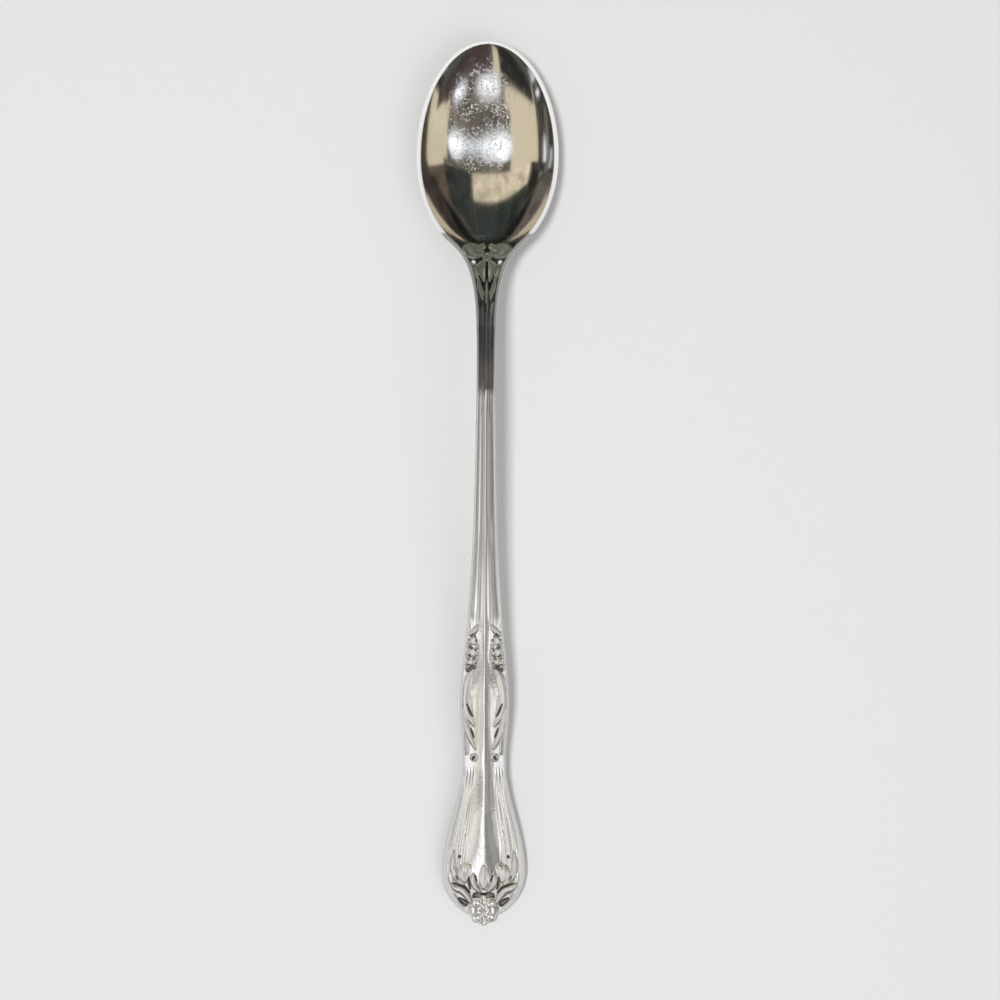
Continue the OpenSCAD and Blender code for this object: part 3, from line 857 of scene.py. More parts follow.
@dataclass
class Skin:
    """Closed skin over a run of sections."""

    form: SpoonForm
    relief: HandleRelief
    across: int = 120
    under: int = 48
    top_round: float = 0.3
    low_round: float = 0.25
    marks_x: float = -0.045
    marks_w: float = 0.23
    marks_u: float = 0.66
    marks_l: float = 0.5
    marks_full: float = 2.2
    marks_fall: float = 1.8
    handle_marks: float = 0.25

    def height(self, u: np.ndarray, s: np.ndarray, x: np.ndarray) -> tuple[np.ndarray, np.ndarray]:
        """Top face, plain ahead of the root cut.

        Args:
            u: Stations back from the front of the bowl.
            s: Shares of half the width inside the edge thread.
            x: Distances from the centre line.

        Returns:
            Heights above the table, and the film share of the ground.
        """
        edge = self.form.edge_line(u)
        dish = self.form.dish(u, s)
        rise, bare = self.relief.top(u, s, x)
        behind = u > self.form.root_u
        return edge - dish + np.where(behind, rise, 0), np.where(behind, bare, 0)

    def rings(self, run: Sections) -> tuple[np.ndarray, dict[str, np.ndarray]]:
        """Points round every section.

        Args:
            run: The sections.

        Returns:
            Array of sections by points by (x, u, z), and for each point its share of edge wear
            and painted sheen, how far it is sunk below its neighbourhood, its share of ground film,
            whether a leaf raises it, and how much it is handled.
        """
        f = self.form
        s = np.linspace(-1, 1, self.across + 1)[None, :]
        ux = run.inner[:, 1][:, None] + 0 * s
        x = run.inner[:, 0][:, None] * s
        z, bare = self.height(ux, s + 0 * ux, x)
        top = np.stack([x, ux, z], axis=2)
        outer_x, outer_u = run.outer[:, 0], run.outer[:, 1]
        line = f.edge_line(outer_u)
        high = np.column_stack([outer_x, outer_u, line])
        low = np.column_stack([outer_x, outer_u, np.maximum(line - f.outer_edge(outer_u), 0)])
        reach = 1 - self.low_round / np.maximum(outer_x, 2 * self.low_round)
        b = np.linspace(1, -1, self.under + 1)[None, :] * reach[:, None]
        ub = outer_u[:, None] + 0 * b
        under = np.stack([outer_x[:, None] * b, ub, f.back(ub, b, run.left[:, None])], axis=2)
        right_top = rounded_corner(high, top[:, -1], low, self.top_round)
        right_low = rounded_corner(low, high, under[:, 0], self.low_round)
        flip = np.array([-1, 1, 1])
        left_low, left_top = right_low[:, ::-1] * flip, right_top[:, ::-1] * flip
        rings = np.concatenate([top, right_top, right_low, under, left_low, left_top], axis=1)
        marks = {"worn": np.zeros(rings.shape[:2])}
        for name, values in (
            ("sunk", self.sunken(top)),
            ("ground", np.clip(bare, 0, 1)),
            ("raised", np.clip(-bare, 0, 1)),
            ("used", self.used(top)),
        ):
            marks[name] = np.zeros(rings.shape[:2])
            marks[name][:, : self.across + 1] = values
        # Rim and edge rounds get the wear mark: the finish makes them rougher and paints a sheen on them
        ring = np.zeros(rings.shape[1])
        first, last = self.across, self.across + right_top.shape[1] + right_low.shape[1] // 2
        ring[first:last] = 1
        ring[-(last - first) :] = 1
        ring[0] = 1
        marks["worn"][:] = ring
        return rings, marks

    def used(self, top: np.ndarray) -> np.ndarray:
        """Share of handling marks: most in the middle of the bowl, a little on the handle.

        Args:
            top: Top points, sections by points by 3.

        Returns:
            Shares from 0 to 1.
        """
        f = self.form
        across = (top[:, :, 0] / f.bowl_w - self.marks_x) / self.marks_w
        away = np.hypot(across, (top[:, :, 1] / f.wide_u - self.marks_u) / self.marks_l)
        handled = np.clip(self.marks_full - self.marks_fall * away**2, 0, 1)
        return handled + self.handle_marks * (top[:, :, 1] > f.root_u)

    def sunken(self, top: np.ndarray, reach: float = 0.55, full: float = 0.3) -> np.ndarray:
        """How far each top point lies below the mean of its neighbourhood.

        Args:
            top: Top points, sections by points by 3.
            reach: Radius of the neighbourhood in millimetres.
            full: Depth that counts as fully sunk.

        Returns:
            Shares from 0 to 1, below 0 where the point stands proud.
        """
        z = top[:, :, 2]
        steps_u = max(1, int(reach / max(1e-3, abs(np.diff(top[:, 0, 1]).mean()))))
        wide = float(np.abs(top[:, -1, 0] - top[:, 0, 0]).mean())
        steps_x = max(1, int(reach / (wide / self.across)))
        mean = box_mean(box_mean(z, steps_u, 0), steps_x, 1)
        return np.clip((mean - z) / full, -1, 1)


def box_mean(values: np.ndarray, reach: int, axis: int) -> np.ndarray:
    """Running mean along one axis, with the ends held.

    Args:
        values: Two-dimensional array.
        reach: Places taken on each side.
        axis: Axis to run along.

    Returns:
        Array of the same shape.
    """
    pad = [(reach, reach) if i == axis else (0, 0) for i in range(2)]
    total = np.cumsum(np.pad(values, pad, mode="edge"), axis=axis)
    total = np.concatenate([np.zeros_like(np.take(total, [0], axis)), total], axis=axis)
    count = values.shape[axis]
    high = np.take(total, np.arange(2 * reach + 1, 2 * reach + 1 + count), axis)
    low = np.take(total, np.arange(count), axis)
    return (high - low) / (2 * reach + 1)


def skin_mesh(
    name: str, rings: np.ndarray, marks: dict[str, np.ndarray], spoon_l: float
) -> bpy.types.Object:
    """Closed mesh object over rings of points.

    Args:
        name: Name of the piece.
        rings: Sections by points by (x, u, z), in millimetres.
        marks: Named shares of each point, kept for its finish.
        spoon_l: Length of the spoon, which places u in the frame.

    Returns:
        The object, with flat ends parted from its smooth sides by sharp edges.
    """
    rows, size = rings.shape[:2]
    places = rings.reshape(-1, 3).copy()
    places[:, 1] = spoon_l / 2 - places[:, 1]
    i, j = np.meshgrid(np.arange(rows - 1), np.arange(size), indexing="ij")
    a = i * size + j
    b = i * size + (j + 1) % size
    quads = np.stack([a, a + size, b + size, b], axis=2).reshape(-1, 4)
    faces = quads.tolist()
    ends = []
    if np.ptp(rings[0, :, 0]) > 1e-6:
        ends.append(list(range(size)))
    if np.ptp(rings[-1, :, 0]) > 1e-6:
        ends.append(list(range((rows - 1) * size, rows * size))[::-1])
    mesh = bpy.data.meshes.new(name)
    mesh.from_pydata((places * MM).tolist(), [], faces + ends)
    for key, values in marks.items():
        mesh.attributes.new(key, "FLOAT", "POINT").data.foreach_set("value", values.reshape(-1))
    mesh.polygons.foreach_set("use_smooth", [True] * len(faces) + [False] * len(ends))
    work = bmesh.new()
    work.from_mesh(mesh)
    bmesh.ops.remove_doubles(work, verts=work.verts, dist=MERGE_GAP)
    for edge in work.edges:
        if any(not face.smooth for face in edge.link_faces):
            edge.smooth = False
    work.to_mesh(mesh)
    work.free()
    mesh.validate()
    piece = bpy.data.objects.new(name, mesh)
    bpy.context.scene.collection.objects.link(piece)
    return piece


def dress(piece: bpy.types.Object, material: bpy.types.Material) -> None:
    """Give a piece its only material."""
    piece.data.materials.clear()
    piece.data.materials.append(material)


def seat(piece: bpy.types.Object, *regions: Region) -> None:
    """Let a piece ride on the spoon, and stand for the regions it replaces.

    Args:
        piece: The piece.
        regions: The regions, none for a piece that is only added.
    """
    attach(piece, "root")
    if regions:
        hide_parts(*(r.value for r in regions))
    log.info("%s: %d faces", piece.name, len(piece.data.polygons))


class NodeTree:
    """Small helper that adds nodes to a tree and links them by name."""

    def __init__(self, tree: bpy.types.NodeTree) -> None:
        """Keep the tree to add to."""
        self.tree = tree

    def add(self, kind: str, inputs: dict | None = None, **settings: object) -> bpy.types.Node:
        """Add one node.

        Args:
            kind: Type name of the node.
            inputs: Values or output sockets for its inputs, by name or place.
            settings: Properties of the node itself.

        Returns:
            The new node.
        """
        node = self.tree.nodes.new(kind)
        for key, value in settings.items():
            setattr(node, key, value)
        for key, value in (inputs or {}).items():
            if isinstance(value, bpy.types.NodeSocket):
                self.tree.links.new(value, node.inputs[key])
            else:
                node.inputs[key].default_value = value
        return node

    def math(self, operation: str, *values: object, clamp: bool = False) -> bpy.types.NodeSocket:
        """Output of a math node on one to three values or sockets."""
        node = self.add("ShaderNodeMath", dict(enumerate(values)), operation=operation, use_clamp=clamp)
        return node.outputs[0]

    def chain(self, operation: str, *values: object) -> bpy.types.NodeSocket:
        """Output of one math operation run through all the values.

        Args:
            operation: Name of the operation.
            values: Values or sockets, in order.

        Returns:
            The last node's output, or the value itself where there is only one.
        """
        total = values[0]
        for value in values[1:]:
            total = self.math(operation, total, value)
        return total

    def times(self, *values: object) -> bpy.types.NodeSocket:
        """Product of the values."""
        return self.chain("MULTIPLY", *values)

    def plus(self, *values: object) -> bpy.types.NodeSocket:
        """Sum of the values."""
        return self.chain("ADD", *values)

    def most(self, *values: object) -> bpy.types.NodeSocket:
        """Largest of the values."""
        return self.chain("MAXIMUM", *values)

    def ramp(self, value: object, low: object, high: object, to: Pair = (0.0, 1.0)) -> bpy.types.NodeSocket:
        """Output of a smooth step.

        Args:
            value: Value or socket.
            low: Value at which the step starts.
            high: Value at which it ends.
            to: Outputs at its start and its end.

        Returns:
            The node's output.
        """
        node = self.add(
            "ShaderNodeMapRange",
            {"Value": value, "From Min": low, "From Max": high, "To Min": to[0], "To Max": to[1]},
            interpolation_type="SMOOTHSTEP",
        )
        return node.outputs["Result"]

    def band(self, value: object, limits: Pair, soft: float) -> bpy.types.NodeSocket:
        """Mask between two limits whose edges are soft."""
        steps = [self.ramp(value, at - way * soft, at + way * soft) for at, way in zip(limits, (1, -1))]
        return self.times(*steps)

    def noise(self, place: object, scale: float, detail: float, **inputs: float) -> bpy.types.NodeSocket:
        """Output of a noise texture, with further inputs by name."""
        values = {"Vector": place, "Scale": scale, "Detail": detail} | inputs
        return self.add("ShaderNodeTexNoise", values).outputs["Fac"]

    def mix(self, factor: object, a: object, b: object) -> bpy.types.NodeSocket:
        """Output of a colour mix.

        Args:
            factor: Share of the second colour.
            a: First colour or socket.
            b: Second colour or socket.

        Returns:
            The node's colour output.
        """
        node = self.add("ShaderNodeMix", {}, data_type="RGBA")
        for place, value in ((0, factor), (6, a), (7, b)):
            if isinstance(value, bpy.types.NodeSocket):
                self.tree.links.new(value, node.inputs[place])
            else:
                node.inputs[place].default_value = value
        return node.outputs[2]

    def place_axes(self) -> tuple[bpy.types.NodeSocket, object]:
        """Place on the object, whole and parted into its axes."""
        place = self.add("ShaderNodeTexCoord").outputs["Object"]
        return place, self.add("ShaderNodeSeparateXYZ", {0: place}).outputs

    def surface(self, shader: bpy.types.Node) -> None:
        """Make a shader the surface of the material."""
        self.add("ShaderNodeOutputMaterial", {"Surface": shader.outputs[0]})


class ShadeGroup(NodeTree):
    """Shader group with named inputs and float outputs."""

    def __init__(self, name: str, inputs: dict[str, float], outputs: tuple[str, ...]) -> None:
        """Start the group.

        Args:
            name: Name of the group.
            inputs: Input names with their default values; "Vector" is a vector.
            outputs: Output names.
        """
        super().__init__(bpy.data.node_groups.new(name, "ShaderNodeTree"))
        for key, value in inputs.items():
            kind = "NodeSocketVector" if key == "Vector" else "NodeSocketFloat"
            socket = self.tree.interface.new_socket(key, in_out="INPUT", socket_type=kind)
            if key != "Vector":
                socket.default_value = value
        for key in outputs:
            self.tree.interface.new_socket(key, in_out="OUTPUT", socket_type="NodeSocketFloat")
        self.source = self.add("NodeGroupInput").outputs
        self.out = self.add("NodeGroupOutput").inputs

    def give(self, key: str, value: bpy.types.NodeSocket) -> None:
        """Link a value to a named output."""
        self.tree.links.new(value, self.out[key])


def node_material(name: str) -> tuple[bpy.types.Material, NodeTree]:
    """New material with an empty tree.

    Args:
        name: Name of the material.

    Returns:
        The material and the helper of its tree.
    """
    material = bpy.data.materials.new(name)
    material.use_nodes = True
    make = NodeTree(material.node_tree)
    make.tree.nodes.clear()
    return material, make


# Turn and stretch of each layer of hairlines; the last one runs across the spoon
SCRATCHES = (
    (0.04, (5200.0, 90.0, 600.0)),
    (-0.35, (3600.0, 130.0, 600.0)),
    (1.2, (2600.0, 160.0, 600.0)),
)


class Effects:
    """Shader groups that the steel finishes share, and the scales of their noise."""

    cloud_scale: float = 140.0
    speck_scale: float = 1900.0
    speck_patch_scale: float = 330.0
    film_scale: float = 900.0

    def __init__(self) -> None:
        """Build each group once."""
        self.hairlines = self._hairlines()
        self.handling = self._handling()
        self.patina_and_shade = self._patina_and_shade()

    def _hairlines(self) -> bpy.types.NodeTree:
        """Fine wiping scratches that run along the spoon, with some across it.

        Returns:
            The group.
        """
        group = ShadeGroup("Hairlines", {"Vector": 0.0, "Scale": 1.0, "Crossing": 0.3}, ("Lines",))
        source = group.source
        scaled = group.add(
            "ShaderNodeVectorMath", {0: source["Vector"], "Scale": source["Scale"]}, operation="SCALE"
        )
        layers = []
        for turn, stretch in SCRATCHES:
            mapped = group.add(
                "ShaderNodeMapping",
                {"Vector": scaled.outputs[0], "Rotation": (0.0, 0.0, turn), "Scale": stretch},
            )
            layers.append(group.ramp(group.noise(mapped.outputs[0], 1.0, 2.0, Roughness=0.6), 0.56, 0.74))
        layers[-1] = group.times(layers[-1], source["Crossing"])
        group.give("Lines", group.most(*layers))
        return group.tree

    def _handling(self) -> bpy.types.NodeTree:
        """Cloudy finger marks, and fine specks that stand for scratches: rough, with a matt colour that
        paints part of their sparkle.

        Returns:
            The group.
        """
        group = ShadeGroup("Handling", {"Vector": 0.0, "Amount": 1.0}, ("Cloud", "Specks"))
        place, amount = group.source["Vector"], group.source["Amount"]
        cloud = group.ramp(group.noise(place, self.cloud_scale, 4.0, Roughness=0.55), 0.4, 0.72)
        specks = group.ramp(group.noise(place, self.speck_scale, 3.0, Roughness=0.68), 0.495, 0.67)
        patches = group.ramp(group.noise(place, self.speck_patch_scale, 3.0), 0.38, 0.56)
        group.give("Cloud", group.times(cloud, amount))
        group.give("Specks", group.times(specks, patches, amount))
        return group.tree

    def _patina_and_shade(self) -> bpy.types.NodeTree:
        """Dark film in the sunken places, partly patina and partly painted shade, and a bright rub on the
        proud ones.

        Returns:
            The group.
        """
        inputs = {"Vector": 0.0, "Sunk": 0.0, "Ground": 0.0, "Low": 0.42, "High": 0.95}
        group = ShadeGroup("PatinaAndShade", inputs, ("Film", "Rub"))
        source = group.source
        uneven = group.noise(source["Vector"], self.film_scale, 3.0)
        uneven = group.math("MULTIPLY_ADD", uneven, 0.5, 0.75)
        deep = group.ramp(source["Sunk"], source["Low"], source["High"])
        film = group.math("MULTIPLY", group.most(deep, source["Ground"]), uneven, clamp=True)
        group.give("Film", film)
        group.give("Rub", group.ramp(group.times(source["Sunk"], -1.0), 0.15, 0.8))
        return group.tree


@dataclass(frozen=True)
class Steel:
    """One finish of the polished steel."""

    name: str
    colour: Colour = (0.8, 0.785, 0.765, 1.0)
    raised_colour: Colour = (0.8, 0.785, 0.765, 1.0)
    # Colour and matt share of edge wear and specks: partly wear, partly a painted sheen that keeps edges
    # bright
    wear_and_sheen_colour: Colour = (0.93, 0.93, 0.94, 1.0)
    film: Colour = (0.05, 0.042, 0.036, 1.0)
    roughness: float = 0.1
    worn_roughness: float = 0.42
    raised_roughness: float = 0.0
    wear_and_sheen_matt: float = 0.35
    # Matt share of the specks, part of their painted sparkle
    speck_matt: float = 0.3
    scratched: float = 0.1
    clouded: float = 0.06
    speckled: float = 0.25
    film_share: float = 0.85
    crossing: float = 0.3
    matt: float = 0.0
    raised_matt: float = 0.0
    grain: float = 0.0
    dent: float = 0.02
    line_dent: float = 0.14
    film_roughness: float = 0.2
    bump: float = 0.25
    wave_scale: float = 260.0
    grain_scale: float = 1500.0

    def build(self, effects: Effects) -> bpy.types.Material:
        """Node material of this finish.

        Args:
            effects: The shared shader groups.

        Returns:
            The material.
        """
        material, make = node_material(self.name)
        place = make.add("ShaderNodeTexCoord").outputs["Object"]
        sunk, worn, ground, used, raised = (
            make.add("ShaderNodeAttribute", attribute_name=key).outputs["Fac"]
            for key in ("sunk", "worn", "ground", "used", "raised")
        )
        lines, handling, patina_and_shade = (
            make.add("ShaderNodeGroup", {"Vector": place} | inputs, node_tree=group).outputs
            for group, inputs in (
                (effects.hairlines, {"Crossing": self.crossing}),
                (effects.handling, {"Amount": used}),
                (effects.patina_and_shade, {"Sunk": sunk, "Ground": ground}),
            )
        )
        specks = handling["Specks"]
        film = make.times(patina_and_shade["Film"], self.film_share)
        struck = make.mix(raised, self.colour, self.raised_colour)
        # Edge wear and specks take their own partly matt colour: wear plus painted sheen
        pale = make.mix(worn, struck, self.wear_and_sheen_colour)
        marked = make.mix(specks, pale, self.wear_and_sheen_colour)
        matt = make.most(
            make.times(worn, self.wear_and_sheen_matt),
            make.times(specks, self.speck_matt),
            self.matt,
            make.times(raised, self.raised_matt),
        )
        rough = make.plus(
            make.math("MULTIPLY_ADD", lines["Lines"], self.scratched, self.roughness),
            make.times(handling["Cloud"], self.clouded),
            make.times(specks, self.speckled),
            make.times(make.most(patina_and_shade["Rub"], raised), self.raised_roughness),
            make.times(film, self.film_roughness),
        )
        grained = make.times(make.noise(place, self.grain_scale, 1.0), used)
        wave = make.math("MULTIPLY_ADD", grained, self.grain, make.noise(place, self.wave_scale, 2.0))
        height = make.math("MULTIPLY_ADD", lines["Lines"], -self.line_dent, wave)
        bump = make.add(
            "ShaderNodeBump", {"Height": height, "Strength": self.bump, "Distance": self.dent * MM}
        )
        shader = make.add(
            "ShaderNodeBsdfPrincipled",
            {
                "Base Color": make.mix(film, marked, self.film),
                "Metallic": make.math("SUBTRACT", 1.0, matt, clamp=True),
                "Roughness": make.math("MAXIMUM", rough, make.times(worn, self.worn_roughness), clamp=True),
                "Normal": bump.outputs[0],
            },
        )
        make.surface(shader)
        return material


@dataclass
class Bowl:
    """Oval bowl with its rim, closed on a point of the rim at the front."""

    form: SpoonForm
    relief: HandleRelief
    turns: int = 110
    back_steps: int = 84
    across: int = 130
    under: int = 90
    top_round: float = 0.34

    def build(self, steel: bpy.types.Material) -> bpy.types.Object:
        """Mesh of the bowl, dressed and seated.

        Args:
            steel: Its finish.

        Returns:
            The piece.
        """
        f = self.form
        a = np.linspace(0, math.pi / 2, self.turns + 1)
        points = np.column_stack([f.bowl_w / 2 * np.sin(a), f.wide_u - f.bowl_front_l * np.cos(a)])
        ways = np.column_stack([-f.bowl_front_l * np.sin(a), f.bowl_w / 2 * np.cos(a)])
        points[0, 0] = 0
        ways[0, 0] = 0
        ahead = inset_sections(points, ways, f.rim_w)
        behind = flat_sections(f, f.wide_u, f.root_u, self.back_steps)
        behind = Sections(behind.outer[1:], behind.inner[1:], behind.left[1:])
        skin = Skin(f, self.relief, across=self.across, under=self.under, top_round=self.top_round)
        rings, marks = skin.rings(Sections.joined(ahead, behind))
        marks["sunk"][:] = 0
        piece = skin_mesh("bowl_shell", rings, marks, f.spoon_l)
        dress(piece, steel)
        seat(piece, Region.BOWL)
        return piece


@dataclass
class HandlePart:
    """One stretch of the handle between two flat cuts."""

    form: SpoonForm
    relief: HandleRelief
    region: Region
    start: float
    end: float
    steps: int
    across: int

    def build(self, steel: bpy.types.Material) -> bpy.types.Object:
        """Mesh of the stretch, dressed and seated.

        Args:
            steel: Its finish.

        Returns:
            The piece.
        """
        skin = Skin(self.form, self.relief, across=self.across)
        rings, marks = skin.rings(flat_sections(self.form, self.start, self.end, self.steps))
        piece = skin_mesh(f"{self.region.value}_struck", rings, marks, self.form.spoon_l)
        dress(piece, steel)
        seat(piece, self.region)
        return piece


class Grown:
    """Piece made by a tree of geometry nodes over a host mesh, then frozen to plain mesh."""

    cap_sides: int = 12

    def __init__(self, name: str, inputs: dict[str, tuple[str, object]]) -> None:
        """Start the tree.

        Args:
            name: Name of the piece.
            inputs: Socket types and values of the tree's named inputs.
        """
        self.name = name
        self.values = {}
        self.tree = bpy.data.node_groups.new(f"{name} tree", "GeometryNodeTree")
        self.tree.interface.new_socket("Geometry", in_out="INPUT", socket_type="NodeSocketGeometry")
        for key, (kind, value) in inputs.items():
            socket = self.tree.interface.new_socket(key, in_out="INPUT", socket_type=kind)
            self.values[socket.identifier] = value
        self.tree.interface.new_socket("Geometry", in_out="OUTPUT", socket_type="NodeSocketGeometry")
        self.make = NodeTree(self.tree)
        self.source = self.make.add("NodeGroupInput").outputs

    def named(self, key: str) -> bpy.types.NodeSocket:
        """Value of a named float attribute of the geometry."""
        node = self.make.add("GeometryNodeInputNamedAttribute", {"Name": key}, data_type="FLOAT")
        return node.outputs["Attribute"]

    def finish(
        self, geometry: bpy.types.NodeSocket, host: bpy.types.Mesh, steel: bpy.types.Material
    ) -> bpy.types.Object:
        """Close the tree, run it and keep its result as a plain mesh.

        Args:
            geometry: Last geometry of the tree.
            host: Mesh that the tree starts from.
            steel: Material set in the tree.

        Returns:
            The finished piece, its faces turned outward.
        """
        real = self.make.add("GeometryNodeRealizeInstances", {"Geometry": geometry})
        dressed = self.make.add("GeometryNodeSetMaterial", {"Geometry": real.outputs[0], "Material": steel})
        self.make.add("NodeGroupOutput", {0: dressed.outputs[0]})
        piece = bpy.data.objects.new(self.name, host)
        bpy.context.scene.collection.objects.link(piece)
        modifier = piece.modifiers.new("grow", "NODES")
        modifier.node_group = self.tree
        for identifier, value in self.values.items():
            modifier[identifier] = value
        shape = piece.evaluated_get(bpy.context.evaluated_depsgraph_get())
        plain = bpy.data.meshes.new_from_object(shape)
        piece.modifiers.remove(modifier)
        piece.data = plain
        plain.name = self.name
        work = bmesh.new()
        work.from_mesh(plain)
        bmesh.ops.remove_doubles(work, verts=work.verts, dist=MERGE_GAP)
        bmesh.ops.recalc_face_normals(work, faces=work.faces)
        for face in work.faces:
            face.smooth = len(face.verts) < self.cap_sides
        for edge in work.edges:
            edge.smooth = all(face.smooth for face in edge.link_faces)
        work.to_mesh(plain)
        work.free()
        return piece


def marked_mesh(
    name: str, places: np.ndarray, edges: list[tuple[int, int]], marks: dict[str, np.ndarray]
) -> bpy.types.Mesh:
    """Mesh of points and edges that carries named values.

    Args:
        name: Name of the mesh.
        places: Points in metres.
        edges: Pairs of points.
        marks: Named value of each point.

    Returns:
        The mesh.
    """
    mesh = bpy.data.meshes.new(name)
    mesh.from_pydata(places.tolist(), edges, [])
    for key, values in marks.items():
        mesh.attributes.new(key, "FLOAT", "POINT").data.foreach_set("value", values)
    return mesh


@dataclass
class Shank:
    """Reeded stem: one section swept along the arch, widening and thinning by rule."""

    form: SpoonForm
    relief: HandleRelief
    steps: int = 300
    across: int = 110
    under: int = 40
    top_round: float = 0.3
    low_round: float = 0.2
    low_set: float = 0.15
    # Film in the shank's struck lines: partly patina, partly painted shade that deepens the channels
    reed_film_and_shade: float = 0.68

    def rail(self) -> tuple[np.ndarray, dict[str, np.ndarray]]:
        """Points along the stem and what the section does at each of them.

        Returns:
            The points in metres, and the named values of each.
        """
        f, r = self.form, self.relief
        u = np.linspace(f.shank_u, f.knop_u, self.steps + 1)
        run = flat_sections(f, f.shank_u, f.knop_u, self.steps)
        marks = {
            "rail_y": f.spoon_l / 2 - u,
            "rail_inner": run.inner[:, 0],
            "rail_outer": run.outer[:, 0],
            "rail_line": f.edge_line(u),
            "rail_edge": f.outer_edge(u),
            "rail_belly": f.under_line(u) - f.outer_edge(u),
            "rail_power": f.back_power(u),
            "rail_rise": r.rise_line(u),
            "rail_half": r.ridge_line(u),
            "rail_fade": r.line_depth * r.shank_share(u),
        }
        places = np.column_stack([0 * u, f.spoon_l / 2 - u, 0 * u])
        return places * MM, marks

    def profile(self) -> tuple[np.ndarray, dict[str, np.ndarray]]:
        """Points round the section: shares of the rail's widths and heights.

        Returns:
            Points on a circle in metres, and the named values of each.
        """
        s = np.linspace(-1, 1, self.across + 1)
        t = np.linspace(0, 1, CORNER_POINTS)
        b = np.linspace(1, -1, self.under + 1)
        keys = ("in_share", "out_share", "dx", "dz", "top", "low", "under", "cut", "worn", "sunk")
        keys = tuple(f"loop_{key}" for key in keys)
        high, low = self.top_round, self.low_round
        cuts = self.relief.shank_lines(np.abs(s))
        rows = [(v, 0, 0, 0, 1, 0, 0, c, 0, self.reed_film_and_shade * max(0, -c)) for v, c in zip(s, cuts)]
        # Edge rows carry the wear mark, where the finish adds roughness and a painted sheen
        upper = [(0, 1, -high * (1 - v) ** 2, -high * v**2, 0, 0, 0, 0, 1, 0) for v in t]
        lower = [(0, 1, -self.low_set * v**2, low * (1 - v) ** 2, 0, 1, 0, 0, 1 - v, 0) for v in t]
        rows += upper + lower
        rows += [(0, v, -low * v, 0, 0, 1, 1, 0, 0, 0) for v in b]
        for side in (lower, upper):
            rows += [(p[0], -1, -p[2], *p[3:]) for p in side[::-1]]
        table = np.array(rows, float)
        turn = np.linspace(0, 2 * math.pi, len(rows), endpoint=False)
        places = np.column_stack([np.cos(turn), np.sin(turn), 0 * turn])
        return places * MM, dict(zip(keys, table.T))

    def build(self, steel: bpy.types.Material) -> bpy.types.Object:
        """Mesh of the shank, grown by its tree, dressed and seated.

        Args:
            steel: Its finish.

        Returns:
            The piece.
        """
        rail, along = self.rail()
        loop, around = self.profile()
        count, size = len(rail), len(loop)
        marks = {key: np.concatenate([values, np.zeros(size)]) for key, values in along.items()}
        marks |= {key: np.concatenate([np.zeros(count), values]) for key, values in around.items()}
        marks["is_rail"] = np.concatenate([np.ones(count), np.zeros(size)])
        edges = [(i, i + 1) for i in range(count - 1)]
        edges += [(count + i, count + (i + 1) % size) for i in range(size)]
        host = marked_mesh("shank host", np.vstack([rail, loop]), edges, marks)
        grown = Grown("shank_reeded", {"Crest round": ("NodeSocketFloat", self.relief.crest_round)})
        make = grown.make
        parts = make.add(
            "GeometryNodeSeparateGeometry",
            {"Geometry": grown.source["Geometry"], "Selection": grown.named("is_rail")},
            domain="POINT",
        )
        curves = []
        for place, other in ((0, "loop_*"), (1, "rail_*")):
            curve = make.add("GeometryNodeMeshToCurve", {"Mesh": parts.outputs[place]})
            own = make.add(
                "GeometryNodeRemoveAttribute",
                {"Geometry": curve.outputs[0], "Name": other},
                pattern_mode="WILDCARD",
            )
            curves.append(own.outputs[0])
        swept = make.add(
            "GeometryNodeCurveToMesh", {"Curve": curves[0], "Profile Curve": curves[1], "Fill Caps": True}
        )
        marked = make.add(
            "GeometryNodeSetPosition", {"Geometry": swept.outputs[0], "Position": self.place(grown)}
        )
        depth = make.math("DIVIDE", grown.named("rail_fade"), self.relief.line_depth)
        sunk = make.times(grown.named("loop_sunk"), depth)
        for name, share in (("worn", grown.named("loop_worn")), ("sunk", sunk)):
            marked = make.add(
                "GeometryNodeStoreNamedAttribute",
                {"Geometry": marked.outputs[0], "Name": name, "Value": share},
                data_type="FLOAT",
            )
        piece = grown.finish(marked.outputs[0], host, steel)
        seat(piece, Region.SHANK)
        return piece

    def place(self, grown: Grown) -> bpy.types.NodeSocket:
        """Position of each swept point, worked out from its rail and section values.

        Args:
            grown: The piece whose tree it goes in.

        Returns:
            The position.
        """
        make, named = grown.make, grown.named
        rail_x = make.plus(
            make.times(named("loop_in_share"), named("rail_inner")),
            make.times(named("loop_out_share"), named("rail_outer")),
        )
        x = make.plus(rail_x, named("loop_dx"))
        crest = grown.source["Crest round"]
        rounded = make.math("SQRT", make.plus(make.times(x, x), make.times(crest, crest)))
        reach = make.math("DIVIDE", make.math("SUBTRACT", rounded, crest), named("rail_half"), clamp=True)
        full = self.relief.round_share
        fall = make.times(reach, make.plus(1 - full, make.times(reach, full)))
        ridge = make.times(named("rail_rise"), make.math("SUBTRACT", 1.0, fall))
        reeds = make.times(named("rail_fade"), named("loop_cut"))
        top = make.times(named("loop_top"), make.plus(ridge, reeds))
        share = make.math("DIVIDE", make.math("ABSOLUTE", x), named("rail_outer"))
        belly = make.math("SUBTRACT", 1.0, make.math("POWER", share, named("rail_power")))
        low = make.times(named("loop_low"), named("rail_edge"))
        sunk = make.times(named("loop_under"), named("rail_belly"), belly)
        high = make.plus(named("rail_line"), make.plus(top, named("loop_dz")))
        height = make.math("SUBTRACT", make.math("SUBTRACT", high, low), sunk)
        axes = [make.times(value, MM) for value in (x, named("rail_y"), height)]
        return make.add("ShaderNodeCombineXYZ", dict(enumerate(axes))).outputs[0]


